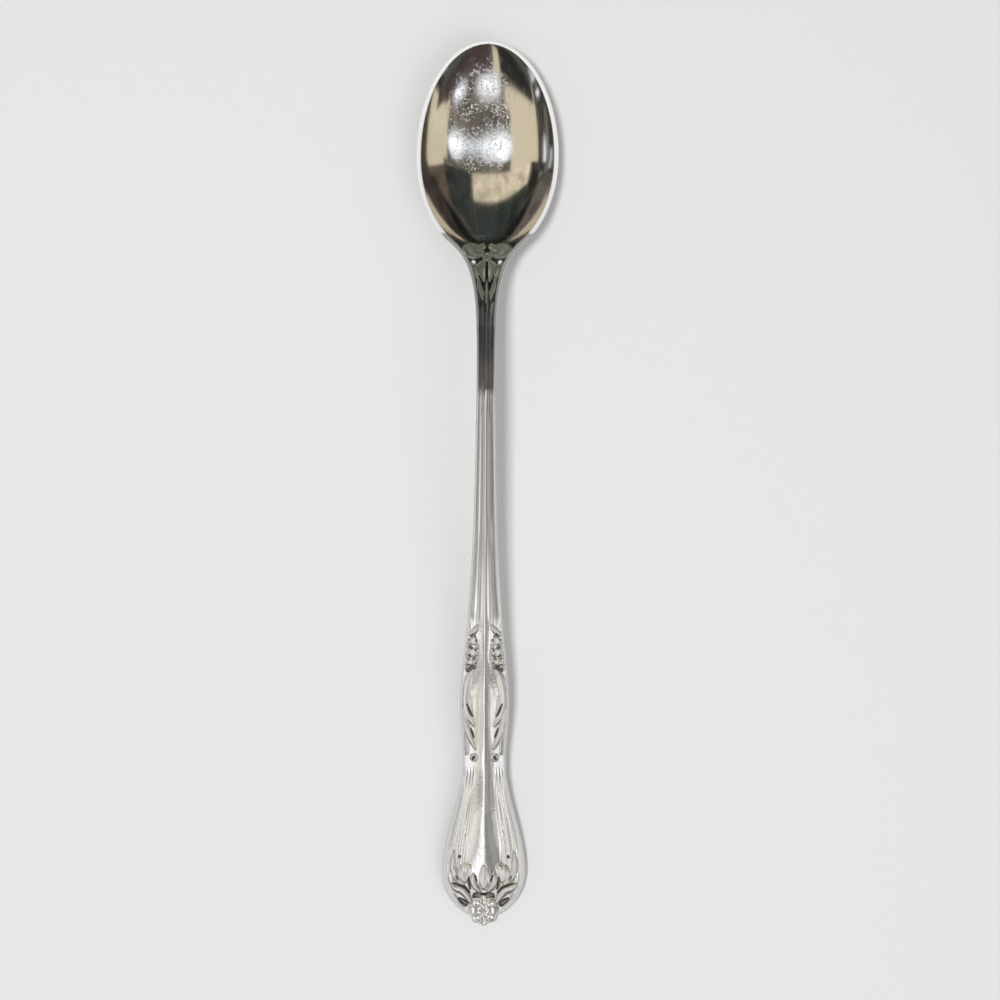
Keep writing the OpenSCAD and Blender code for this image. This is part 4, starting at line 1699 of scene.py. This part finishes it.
@dataclass
class Beads:
    """Small domed beads set on the struck ground, each with its own size."""

    form: SpoonForm
    relief: HandleRelief
    name: str
    start: float
    length: float
    places: tuple[Triple, ...]
    seat_share: float = 0.35
    segments: int = 20
    rings: int = 12

    def build(self, steel: bpy.types.Material) -> bpy.types.Object:
        """Mesh of the beads on both sides, dressed and seated.

        Args:
            steel: Their finish.

        Returns:
            The piece.
        """
        f = self.form
        rows = [(side * a, b, r) for a, b, r in self.places for side in (-1, 1) if a > 0 or side > 0]
        table = np.array(rows) * self.length
        x, u, r = table[:, 0], table[:, 1] + self.start, table[:, 2]
        inner = f.half_w(u) - f.thread_line(u)
        rise, _ = self.relief.top(u, x / inner, x)
        z = f.edge_line(u) - f.dish(u, x / inner) + rise - r * self.seat_share
        places = np.column_stack([x, f.spoon_l / 2 - u, z]) * MM
        host = marked_mesh(self.name, places, [], {"size": r * MM})
        grown = Grown(
            self.name,
            {"Segments": ("NodeSocketInt", self.segments), "Rings": ("NodeSocketInt", self.rings)},
        )
        make, source = grown.make, grown.source
        ball = make.add(
            "GeometryNodeMeshUVSphere",
            {"Segments": source["Segments"], "Rings": source["Rings"], "Radius": 1.0},
        )
        points = make.add("GeometryNodeMeshToPoints", {"Mesh": source["Geometry"]})
        spread = make.add(
            "GeometryNodeInstanceOnPoints",
            {"Points": points.outputs[0], "Instance": ball.outputs[0], "Scale": grown.named("size")},
        )
        piece = grown.finish(spread.outputs[0], host, steel)
        seat(piece)
        return piece


@dataclass
class Rosette:
    """Two rings of domed petals round a pierced-looking heart, on the scalloped end."""

    form: SpoonForm
    ring_r: float = 2.1
    petal_l: float = 1.15
    petal_w: float = 0.92
    petal_h: float = 0.5
    inner_r: float = 0.95
    inner_share: float = 0.6
    inner_lift: float = 0.5
    heart_r: float = 0.42
    heart_lift: float = 0.35
    groove_open: float = 0.9
    groove_floor: float = 0.55
    petal_steps: tuple[int, int] = (28, 18)
    heart_steps: tuple[int, int] = (20, 12)

    def build(self, ground_z: float, steel: bpy.types.Material) -> bpy.types.Object:
        """Mesh of the rosette, dressed and seated.

        Args:
            ground_z: Height of the ground it sits on, in millimetres.
            steel: Its finish.

        Returns:
            The piece.
        """
        f = self.form
        centre = Vector((0, f.spoon_l / 2 - f.rosette_u, ground_z)) * MM
        host = marked_mesh("rosette host", np.array([list(centre)]), [], {})
        grown = Grown(
            "rosette_petals",
            {
                "Petals": ("NodeSocketInt", f.petal_count),
                "Ring radius": ("NodeSocketFloat", self.ring_r * MM),
                "Inner radius": ("NodeSocketFloat", self.inner_r * MM),
                "Inner share": ("NodeSocketFloat", self.inner_share),
                "Centre": ("NodeSocketVector", tuple(centre)),
            },
        )
        make, source = grown.make, grown.source
        petal, count = self.petal(make), source["Petals"]
        turn, step = math.pi / 2, math.pi / f.petal_count
        outer = self.ring(make, count, source["Ring radius"], petal, (1.0, 1.0, 1.0), turn)
        inner = self.ring(make, count, source["Inner radius"], petal, source["Inner share"], turn + step)
        heart = self.ball(make, self.heart_steps, self.heart_r * MM)
        whole = make.add("GeometryNodeJoinGeometry")
        for part, lift in ((outer, 0.0), (inner, self.inner_lift), (heart, self.heart_lift)):
            raised = self.moved(make, part, (0.0, 0.0, self.petal_h * lift * MM))
            make.tree.links.new(raised, whole.inputs[0])
        placed = self.moved(make, whole.outputs[0], source["Centre"])
        piece = grown.finish(placed, host, steel)
        seat(piece)
        return piece

    @staticmethod
    def ball(make: NodeTree, steps: tuple[int, int], radius: float) -> bpy.types.NodeSocket:
        """Ball with a number of segments and rings."""
        sizes = {"Segments": steps[0], "Rings": steps[1], "Radius": radius}
        return make.add("GeometryNodeMeshUVSphere", sizes).outputs[0]

    @staticmethod
    def moved(make: NodeTree, geometry: bpy.types.NodeSocket, way: object) -> bpy.types.NodeSocket:
        """Geometry shifted by a vector."""
        return make.add("GeometryNodeTransform", {"Geometry": geometry, "Translation": way}).outputs[0]

    def petal(self, make: NodeTree) -> bpy.types.NodeSocket:
        """One petal: a flattened dome with a groove pressed down its middle.

        Args:
            make: Helper of the tree.

        Returns:
            The petal's geometry.
        """
        ball = self.ball(make, self.petal_steps, 1.0)
        place = make.add("GeometryNodeInputPosition").outputs[0]
        axes = make.add("ShaderNodeSeparateXYZ", {0: place}).outputs
        across = make.times(axes["Y"], axes["Y"])
        groove = make.math("MULTIPLY_ADD", across, self.groove_open, self.groove_floor)
        height = make.times(axes["Z"], make.math("MINIMUM", groove, 1.0))
        sizes = ((axes["X"], self.petal_l), (axes["Y"], self.petal_w), (height, self.petal_h))
        scaled = [make.times(value, size * MM) for value, size in sizes]
        shape = make.add("ShaderNodeCombineXYZ", dict(enumerate(scaled))).outputs[0]
        shaped = make.add("GeometryNodeSetPosition", {"Geometry": ball, "Position": shape})
        return shaped.outputs[0]

    def ring(
        self,
        make: NodeTree,
        count: bpy.types.NodeSocket,
        radius: bpy.types.NodeSocket,
        petal: bpy.types.NodeSocket,
        scale: object,
        turn: float,
    ) -> bpy.types.NodeSocket:
        """Petals set round a circle, each pointing out.

        Args:
            make: Helper of the tree.
            count: Number of petals.
            radius: Radius of the circle.
            petal: The petal's geometry.
            scale: Size share of each petal.
            turn: Angle of the first petal.

        Returns:
            The ring's geometry.
        """
        circle = make.add("GeometryNodeMeshCircle", {"Vertices": count, "Radius": radius})
        spin = make.add(
            "GeometryNodeTransform", {"Geometry": circle.outputs[0], "Rotation": (0.0, 0.0, turn)}
        )
        points = make.add("GeometryNodeMeshToPoints", {"Mesh": spin.outputs[0]})
        place = make.add("GeometryNodeInputPosition").outputs[0]
        axes = make.add("ShaderNodeSeparateXYZ", {0: place}).outputs
        facing = make.add("ShaderNodeCombineXYZ", {2: make.math("ARCTAN2", axes["Y"], axes["X"])})
        spread = make.add(
            "GeometryNodeInstanceOnPoints",
            {
                "Points": points.outputs[0],
                "Instance": petal,
                "Rotation": facing.outputs[0],
                "Scale": scale,
            },
        )
        return spread.outputs[0]


@dataclass
class Tip:
    """Round end of the handle with its curls, palmette and scalloped rosette."""

    form: SpoonForm
    relief: HandleRelief
    oval_steps: int = 110
    end_steps: int = 70
    across: int = 190

    def scalloped(self, a: np.ndarray) -> np.ndarray:
        """Radius of the rosette's outline at each angle from the cross line."""
        f = self.form
        return f.rosette_d / 2 - f.scallop_depth * (1 - np.cos(f.petal_count * (math.pi / 2 - a))) / 2

    def end_points(self, a: np.ndarray, inset: float) -> np.ndarray:
        """Plan points round the rosette, set in by a distance."""
        r = self.scalloped(a) - inset
        return np.column_stack([r * np.cos(a), self.form.rosette_u + r * np.sin(a)])

    def meeting_angle(self) -> float:
        """Angle at which the rosette's outline leaves the oval end of the panel.

        Returns:
            The angle from the cross line, found by halving.
        """
        f = self.form
        low, high = 0.0, math.pi / 2
        for _ in range(40):
            mid = (low + high) / 2
            x, u = self.end_points(np.array([mid]), 0)[0]
            outside = (x / (f.panel_w / 2)) ** 2 + ((u - f.panel_u) / f.tip_oval_l) ** 2 > 1
            low, high = (low, mid) if outside else (mid, high)
        return low

    def build(self, steel: bpy.types.Material) -> bpy.types.Object:
        """Mesh of the tip, dressed and seated.

        Args:
            steel: Its finish.

        Returns:
            The piece.
        """
        f = self.form
        meet = self.meeting_angle()
        x, u = self.end_points(np.array([meet]), 0)[0]
        stop = math.atan2((u - f.panel_u) / f.tip_oval_l, x / (f.panel_w / 2))
        a = np.linspace(0, stop, self.oval_steps + 1)
        points = np.column_stack([f.panel_w / 2 * np.cos(a), f.panel_u + f.tip_oval_l * np.sin(a)])
        ways = np.column_stack([-f.tip_oval_l * np.cos(a), -f.panel_w / 2 * np.sin(a)])
        oval = inset_sections(points, ways, f.panel_thread_w)
        b = np.linspace(meet, math.pi / 2, self.end_steps + 1)
        outer, inner = self.end_points(b, 0), self.end_points(b, f.panel_thread_w)
        outer[-1, 0] = inner[-1, 0] = 0
        end = Sections(outer, inner, 1 - np.sin(b) ** 8)
        skin = Skin(f, self.relief, across=self.across)
        rings, marks = skin.rings(Sections.joined(oval, end))
        piece = skin_mesh("tip_struck", rings, marks, f.spoon_l)
        dress(piece, steel)
        seat(piece, Region.TIP)
        return piece


@dataclass
class Studio:
    """Pale floor, soft lamps, a tent that polished steel mirrors, and the camera."""

    form: SpoonForm
    scale: float = 0.2123
    picture: int = 1000
    spoon_centre_px: Pair = (485.7, 485.5)
    lean_deg: float = 0.31
    camera_h: float = 480.0
    subject_h: float = 5.0
    floor_reach_m: float = 3.0
    floor_colour: Colour = (0.68, 0.68, 0.675, 1.0)
    floor_roughness: float = 0.9
    floor_shine: float = 0.1
    sky: float = 0.42

    def build(self) -> None:
        """Make everything round the spoon."""
        scene = bpy.context.scene
        scene.view_settings.view_transform = "Standard"
        self._floor()
        self._lamps()
        self._tent()
        self._boards()
        self._world()
        self._camera()

    def _floor(self) -> None:
        """Plain pale floor."""
        mesh = bpy.data.meshes.new("floor")
        side = self.floor_reach_m
        corners = [(-side, -side, 0), (side, -side, 0), (side, side, 0), (-side, side, 0)]
        mesh.from_pydata(corners, [], [(0, 1, 2, 3)])
        floor = bpy.data.objects.new("floor", mesh)
        bpy.context.scene.collection.objects.link(floor)
        material = bpy.data.materials.new("pale floor")
        material.use_nodes = True
        shader = material.node_tree.nodes["Principled BSDF"]
        shader.inputs["Base Color"].default_value = self.floor_colour
        shader.inputs["Roughness"].default_value = self.floor_roughness
        shader.inputs["Specular IOR Level"].default_value = self.floor_shine
        mesh.materials.append(material)
        floor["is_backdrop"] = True

    def _lamps(self) -> None:
        """Key lamp a little to the left and a wide fill lamp, neither mirrored by the steel."""
        for name, place, size, power in (
            ("key lamp", (-0.2, 0.0, 1.1), 0.18, 7.5),
            ("fill lamp", (0.5, -0.5, 1.0), 0.9, 3.5),
        ):
            light = bpy.data.lights.new(name, "AREA")
            light.size = size
            light.energy = power
            lamp = bpy.data.objects.new(name, light)
            lamp.location = place
            lamp.rotation_euler = (-Vector(place)).to_track_quat("-Z", "Y").to_euler()
            lamp.visible_glossy = False
            bpy.context.scene.collection.objects.link(lamp)

    def _tent(self) -> None:
        """Half dome seen only by reflections, with pale cloth, dark flags and lamps."""
        work = bmesh.new()
        bmesh.ops.create_uvsphere(work, u_segments=64, v_segments=32, radius=1.0)
        low = [vert for vert in work.verts if vert.co.z < TENT_FOOT]
        bmesh.ops.delete(work, geom=low, context="VERTS")
        for vert in work.verts:
            vert.co = vert.co * TENT_R + Vector((0, TENT_Y, 0))
        mesh = bpy.data.meshes.new("tent")
        work.to_mesh(mesh)
        work.free()
        self._mirrored_only("tent", mesh, TentCloth().build())

    def _boards(self) -> None:
        """Boards over and beside the bowl, seen only by reflections."""
        for board in BOARDS:
            self._mirrored_only(board.name, board.mesh(), board.build())

    @staticmethod
    def _mirrored_only(name: str, mesh: bpy.types.Mesh, material: bpy.types.Material) -> None:
        """Add a stage piece that only reflections see.

        Args:
            name: Name of the piece.
            mesh: Its mesh.
            material: Its glow.
        """
        board = bpy.data.objects.new(name, mesh)
        bpy.context.scene.collection.objects.link(board)
        mesh.materials.append(material)
        for ray in ("camera", "diffuse", "shadow", "transmission", "volume_scatter"):
            setattr(board, f"visible_{ray}", False)
        board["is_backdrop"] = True

    def _world(self) -> None:
        """Even pale light from all round."""
        world = bpy.data.worlds.new("even light")
        world.use_nodes = True
        background = world.node_tree.nodes["Background"]
        background.inputs["Color"].default_value = (1.0, 1.0, 1.0, 1.0)
        background.inputs["Strength"].default_value = self.sky
        bpy.context.scene.world = world

    def _camera(self) -> None:
        """Camera straight above, framed and turned as in the photograph."""
        camera = bpy.data.cameras.new("camera")
        seen = self.scale * self.picture
        camera.lens = camera.sensor_width * (self.camera_h - self.subject_h) / seen
        camera.clip_start = 0.01
        across = (self.picture / 2 - self.spoon_centre_px[0]) * self.scale * MM
        along = (self.spoon_centre_px[1] - self.picture / 2) * self.scale * MM
        eye = bpy.data.objects.new("camera", camera)
        eye.location = (across, along, self.camera_h * MM)
        eye.rotation_euler = (0.0, 0.0, math.radians(self.lean_deg))
        bpy.context.scene.collection.objects.link(eye)
        bpy.context.scene.camera = eye


@dataclass(frozen=True)
class Patch:
    """One patch of the tent, between two angles across and two along the spoon."""

    colour: Triple
    across: Pair
    along: Pair
    soft: float = 3.0


# Radius and middle of the tent in metres, and where its foot is cut, in shares of the radius
TENT_R = 0.8
TENT_Y = 0.065
TENT_FOOT = -0.1
TENT_PATCHES = (
    Patch((1.3, 1.3, 1.31), (-62, 62), (-60, 2), 4.0),
    Patch((0.52, 0.51, 0.475), (-62, -10), (-20, -2), 3.5),
    Patch((0.28, 0.275, 0.25), (4, 62), (-20, -2), 3.5),
    Patch((0.72, 0.7, 0.69), (-28, -12), (-60, -20), 2.5),
    Patch((0.98, 0.89, 0.78), (-40, -27), (-60, -20), 3.5),
    Patch((1.05, 1.0, 0.98), (-62, -38), (-60, -20), 3.0),
    Patch((0.52, 0.5, 0.47), (-38, -9), (-29, -19), 1.8),
    Patch((0.47, 0.46, 0.44), (-62, -36), (-32.5, -19), 2.0),
    Patch((0.34, 0.335, 0.33), (3, 26), (-60, -20), 3.0),
    Patch((0.6, 0.59, 0.57), (26, 33), (-60, -32), 2.0),
    Patch((1.15, 1.15, 1.15), (33, 62), (-60, -32), 3.0),
    Patch((0.3, 0.29, 0.27), (26, 62), (-32, -20), 2.0),
    Patch((0.6, 0.61, 0.62), (-90, -62), (-60, 2), 3.0),
    Patch((0.5, 0.51, 0.52), (62, 90), (-60, 2), 3.0),
    Patch((0.74, 0.65, 0.48), (-57, 17), (2, 45), 2.0),
    Patch((0.04, 0.045, 0.042), (17, 57), (2, 60), 2.0),
    Patch((0.13, 0.095, 0.07), (57, 80), (2, 60), 2.0),
    Patch((0.03, 0.028, 0.025), (-90, -57), (2, 60), 2.0),
    Patch((0.035, 0.042, 0.038), (-57, 17), (45, 62), 1.5),
    Patch((0.012, 0.013, 0.012), (-70, 70), (62, 90), 3.0),
    Patch((0.05, 0.04, 0.035), (70, 90), (55, 90), 3.0),
    Patch((0.3, 0.28, 0.25), (-76, -71), (20, 56), 2.0),
    Patch((0.09, 0.05, 0.045), (-90, 90), (-90, -62), 3.0),
)


@dataclass(frozen=True)
class TentCloth:
    """Glow of the tent: a mid grey with patches painted on by direction."""

    base: Triple = (0.13, 0.115, 0.1)
    fold_scale: float = 9.0
    fold_glow: Pair = (0.66, 1.3)

    def build(self) -> bpy.types.Material:
        """Emission material of the tent.

        Returns:
            The material.
        """
        material, make = node_material("tent cloth")
        place, axes = make.place_axes()
        back = make.math("SUBTRACT", axes["Y"], TENT_Y)
        angles = [
            make.times(make.math("ARCTAN2", way, axes["Z"]), 180 / math.pi) for way in (axes["X"], back)
        ]
        colour = (*self.base, 1.0)
        for patch in TENT_PATCHES:
            limits = (patch.across, patch.along)
            mask = make.times(*(make.band(angle, pair, patch.soft) for angle, pair in zip(angles, limits)))
            colour = make.mix(mask, colour, (*patch.colour, 1.0))
        folds = make.noise(place, self.fold_scale, 4.0, Distortion=0.8)
        uneven = make.ramp(folds, 0.32, 0.68, self.fold_glow)
        make.surface(make.add("ShaderNodeEmission", {"Color": colour, "Strength": uneven}))
        return material


# Limits of a spot that runs over the whole of its board
EVERYWHERE = (-1.0, 1.0)


@dataclass(frozen=True)
class Spot:
    """Box of colour on a board, or a soft oval round a middle, in metres."""

    colour: Triple
    x: Pair = EVERYWHERE
    y: Pair = EVERYWHERE
    z: Pair = EVERYWHERE
    soft: float = 0.003
    oval: Pair = (0.0, 0.0)
    oval_glow: float = 2.2

    def mask(self, make: NodeTree, axes: object) -> bpy.types.NodeSocket:
        """Where the spot shows on its board.

        Args:
            make: Helper of the board's tree.
            axes: The three axes of the place on the board, by name.

        Returns:
            Share of the spot's colour.
        """
        if not self.oval[0]:
            spans = [("X", self.x), ("Y", self.y), ("Z", self.z)]
            return make.times(
                *(make.band(axes[axis], span, self.soft) for axis, span in spans if span != EVERYWHERE)
            )
        parts = []
        for axis, middle, reach in (("X", self.x[0], self.oval[0]), ("Y", self.y[0], self.oval[1])):
            gap = make.math("DIVIDE", make.math("SUBTRACT", axes[axis], middle), reach)
            parts.append(make.math("POWER", make.math("ABSOLUTE", gap), 2.0))
        return make.ramp(make.plus(*parts), self.oval_glow, 0.0)


@dataclass(frozen=True)
class Board:
    """Board near the bowl, level or upright, whose glow only reflections see."""

    name: str
    low: Triple
    high: Triple
    base: Triple
    mottle: Triple
    spots: tuple[Spot, ...]
    mottle_scale: float = 40.0

    def mesh(self) -> bpy.types.Mesh:
        """One face between the two corners, upright where their x is the same.

        Returns:
            The mesh.
        """
        (x0, y0, z0), (x1, y1, z1) = self.low, self.high
        corners = [(x0, y0, z0), (x1, y0, z0), (x1, y1, z1), (x0, y1, z1)]
        if x0 == x1:
            corners = [(x0, y0, z0), (x0, y1, z0), (x0, y1, z1), (x0, y0, z1)]
        mesh = bpy.data.meshes.new(self.name)
        mesh.from_pydata(corners, [], [(0, 1, 2, 3)])
        return mesh

    def build(self) -> bpy.types.Material:
        """Emission material of the board.

        Returns:
            The material.
        """
        material, make = node_material(self.name)
        place, axes = make.place_axes()
        patches = make.ramp(make.noise(place, self.mottle_scale, 3.0), 0.35, 0.7)
        colour = make.mix(patches, (*self.base, 1.0), (*self.mottle, 1.0))
        for spot in self.spots:
            colour = make.mix(spot.mask(make, axes), colour, (*spot.colour, 1.0))
        make.surface(make.add("ShaderNodeEmission", {"Color": colour, "Strength": 1.0}))
        return material


LAMP = (1.5, 1.56, 1.66)
BEIGE = (0.74, 0.65, 0.48)
DARK = (0.03, 0.028, 0.026)
BOARDS = (
    Board(
        "high board",
        (-0.16, 0.0215, 0.1),
        (0.14, 0.109, 0.1),
        (0.085, 0.074, 0.06),
        (0.24, 0.21, 0.17),
        (
            Spot(BEIGE, x=(-0.2, -0.046), y=(0.04, 0.2), soft=0.004),
            Spot(BEIGE, x=(-0.2, -0.034), y=(0.027, 0.05), soft=0.004),
            Spot(BEIGE, x=(0.118, 0.2), y=(0.03, 0.096), soft=0.003),
            Spot((1.1, 1.2, 1.3), x=(-0.01, 0.08), y=(0.0755, 0.0825), soft=0.003),
            Spot(LAMP, (0.08, 0.0), (0.079, 0.0), oval=(0.03, 0.009)),
            Spot(LAMP, (-0.022, 0.0), (0.079, 0.0), oval=(0.024, 0.009)),
            Spot(LAMP, (0.076, 0.0), (0.029, 0.0), oval=(0.024, 0.009)),
            Spot(LAMP, (-0.003, 0.0), (0.03, 0.0), oval=(0.019, 0.011)),
        ),
    ),
    Board(
        "low board",
        (-0.09, 0.0215, 0.05),
        (0.12, 0.0555, 0.05),
        (0.055, 0.04, 0.042),
        (0.1, 0.062, 0.06),
        (
            Spot((0.022, 0.02, 0.02), x=(-0.2, -0.011), y=(0.034, 0.2), soft=0.001),
            Spot(BEIGE, x=(-0.011, -0.004), y=(0.042, 0.2), soft=0.0008),
            Spot((0.028, 0.036, 0.037), y=(-0.1, 0.034)),
        ),
    ),
    Board(
        "neck board",
        (-0.05, 0.0213, 0.03),
        (0.05, 0.0605, 0.03),
        (0.11, 0.095, 0.095),
        (0.14, 0.125, 0.125),
        (
            Spot((0.042, 0.051, 0.053), y=(0.031, 0.2), soft=0.004),
            Spot((0.012, 0.015, 0.013), y=(0.0465, 0.0535), soft=0.0015),
            Spot((0.092, 0.104, 0.08), y=(0.0535, 0.2), soft=0.002),
            Spot((0.3, 0.29, 0.27), x=(0.001, 0.003), y=(-0.1, 0.05), soft=0.0006),
        ),
    ),
    Board(
        "right board",
        (0.14, 0.012, 0.002),
        (0.14, 0.13, 0.1),
        (0.68, 0.6, 0.44),
        (0.76, 0.68, 0.52),
        (
            Spot((0.12, 0.09, 0.07), y=(0.112, 0.2), soft=0.004),
            Spot(DARK, y=(-0.1, 0.035), soft=0.004),
            Spot((0.06, 0.052, 0.045), z=(-0.1, 0.037), soft=0.002),
        ),
    ),
    Board(
        "left board",
        (-0.16, 0.012, 0.002),
        (-0.16, 0.13, 0.1),
        (0.025, 0.023, 0.022),
        (0.075, 0.066, 0.056),
        (
            Spot(BEIGE, y=(-0.1, 0.109), z=(0.077, 0.2), soft=0.002),
            Spot((0.2, 0.19, 0.17), y=(0.05, 0.13), z=(0.036, 0.045), soft=0.003),
            Spot((1.0, 1.05, 1.1), y=(0.078, 0.108), z=(0.046, 0.056), soft=0.003),
            Spot((0.7, 0.72, 0.75), y=(0.09, 0.12), z=(0.026, 0.032), soft=0.003),
            Spot((1.2, 1.2, 1.25), y=(0.026, 0.034), z=(0.05, 0.064), soft=0.003),
        ),
    ),
)


def main() -> None:
    """Build the spoon and its studio in order."""
    logging.basicConfig(level=logging.INFO, format="%(name)s %(message)s")
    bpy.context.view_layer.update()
    form = SpoonForm()
    relief = HandleRelief(form)
    effects = Effects()
    # Pale, mostly matt steel on the neck beads: painted glints that keep them bright white from any side
    painted_glint = Steel("rubbed steel", colour=(0.93, 0.93, 0.92, 1.0), roughness=0.3, matt=0.7)
    # Bowl steel: its rim is rough, pale and mostly matt, wear plus a painted sheen
    bright = Steel(
        "bright steel",
        roughness=0.09,
        worn_roughness=0.5,
        wear_and_sheen_matt=0.6,
        speckled=0.55,
        speck_matt=0.4,
        grain=1.6,
    )
    # Steel of the neck: the greenish grey on its raised leaves is a painted reflection tint
    reflection_tinted = Steel(
        "toned steel",
        raised_colour=(0.64, 0.7, 0.58, 1.0),
        wear_and_sheen_colour=(0.68, 0.69, 0.7, 1.0),
        raised_roughness=0.18,
        raised_matt=0.09,
        wear_and_sheen_matt=0.25,
        film_share=0.8,
        dent=0.04,
    )
    # Handle steel: its darker edge colour tones down the painted sheen on the edge bands
    struck = Steel(
        "struck steel",
        wear_and_sheen_colour=(0.68, 0.69, 0.7, 1.0),
        roughness=0.1,
        raised_roughness=0.18,
        wear_and_sheen_matt=0.25,
        speckled=0.15,
        scratched=0.12,
        film_share=0.76,
        grain=5.0,
        dent=0.045,
    )
    painted_glint, bright, reflection_tinted, struck = (steel.build(effects) for steel in (painted_glint, bright, reflection_tinted, struck))
    Bowl(form, relief).build(bright)
    HandlePart(form, relief, Region.NECK, form.root_u, form.shank_u, steps=190, across=150).build(reflection_tinted)
    Shank(form, relief).build(struck)
    HandlePart(form, relief, Region.KNOP, form.knop_u, form.waist_u, steps=270, across=150).build(struck)
    HandlePart(form, relief, Region.PANEL, form.waist_u, form.panel_u, steps=200, across=190).build(struck)
    Tip(form, relief).build(struck)
    blossom_u = form.root_u + relief.blossom_gap_l
    Beads(form, relief, "neck_beads", blossom_u, relief.blossom_l, NECK_BEADS).build(painted_glint)
    Beads(form, relief, "knop_berries", form.knop_u, form.knop_l, KNOP_BERRIES).build(struck)
    Rosette(form).build(form.tip_h + relief.crest_rise * relief.cushion_share, struck)
    Studio(form).build()


if __name__ == "__main__":
    main()
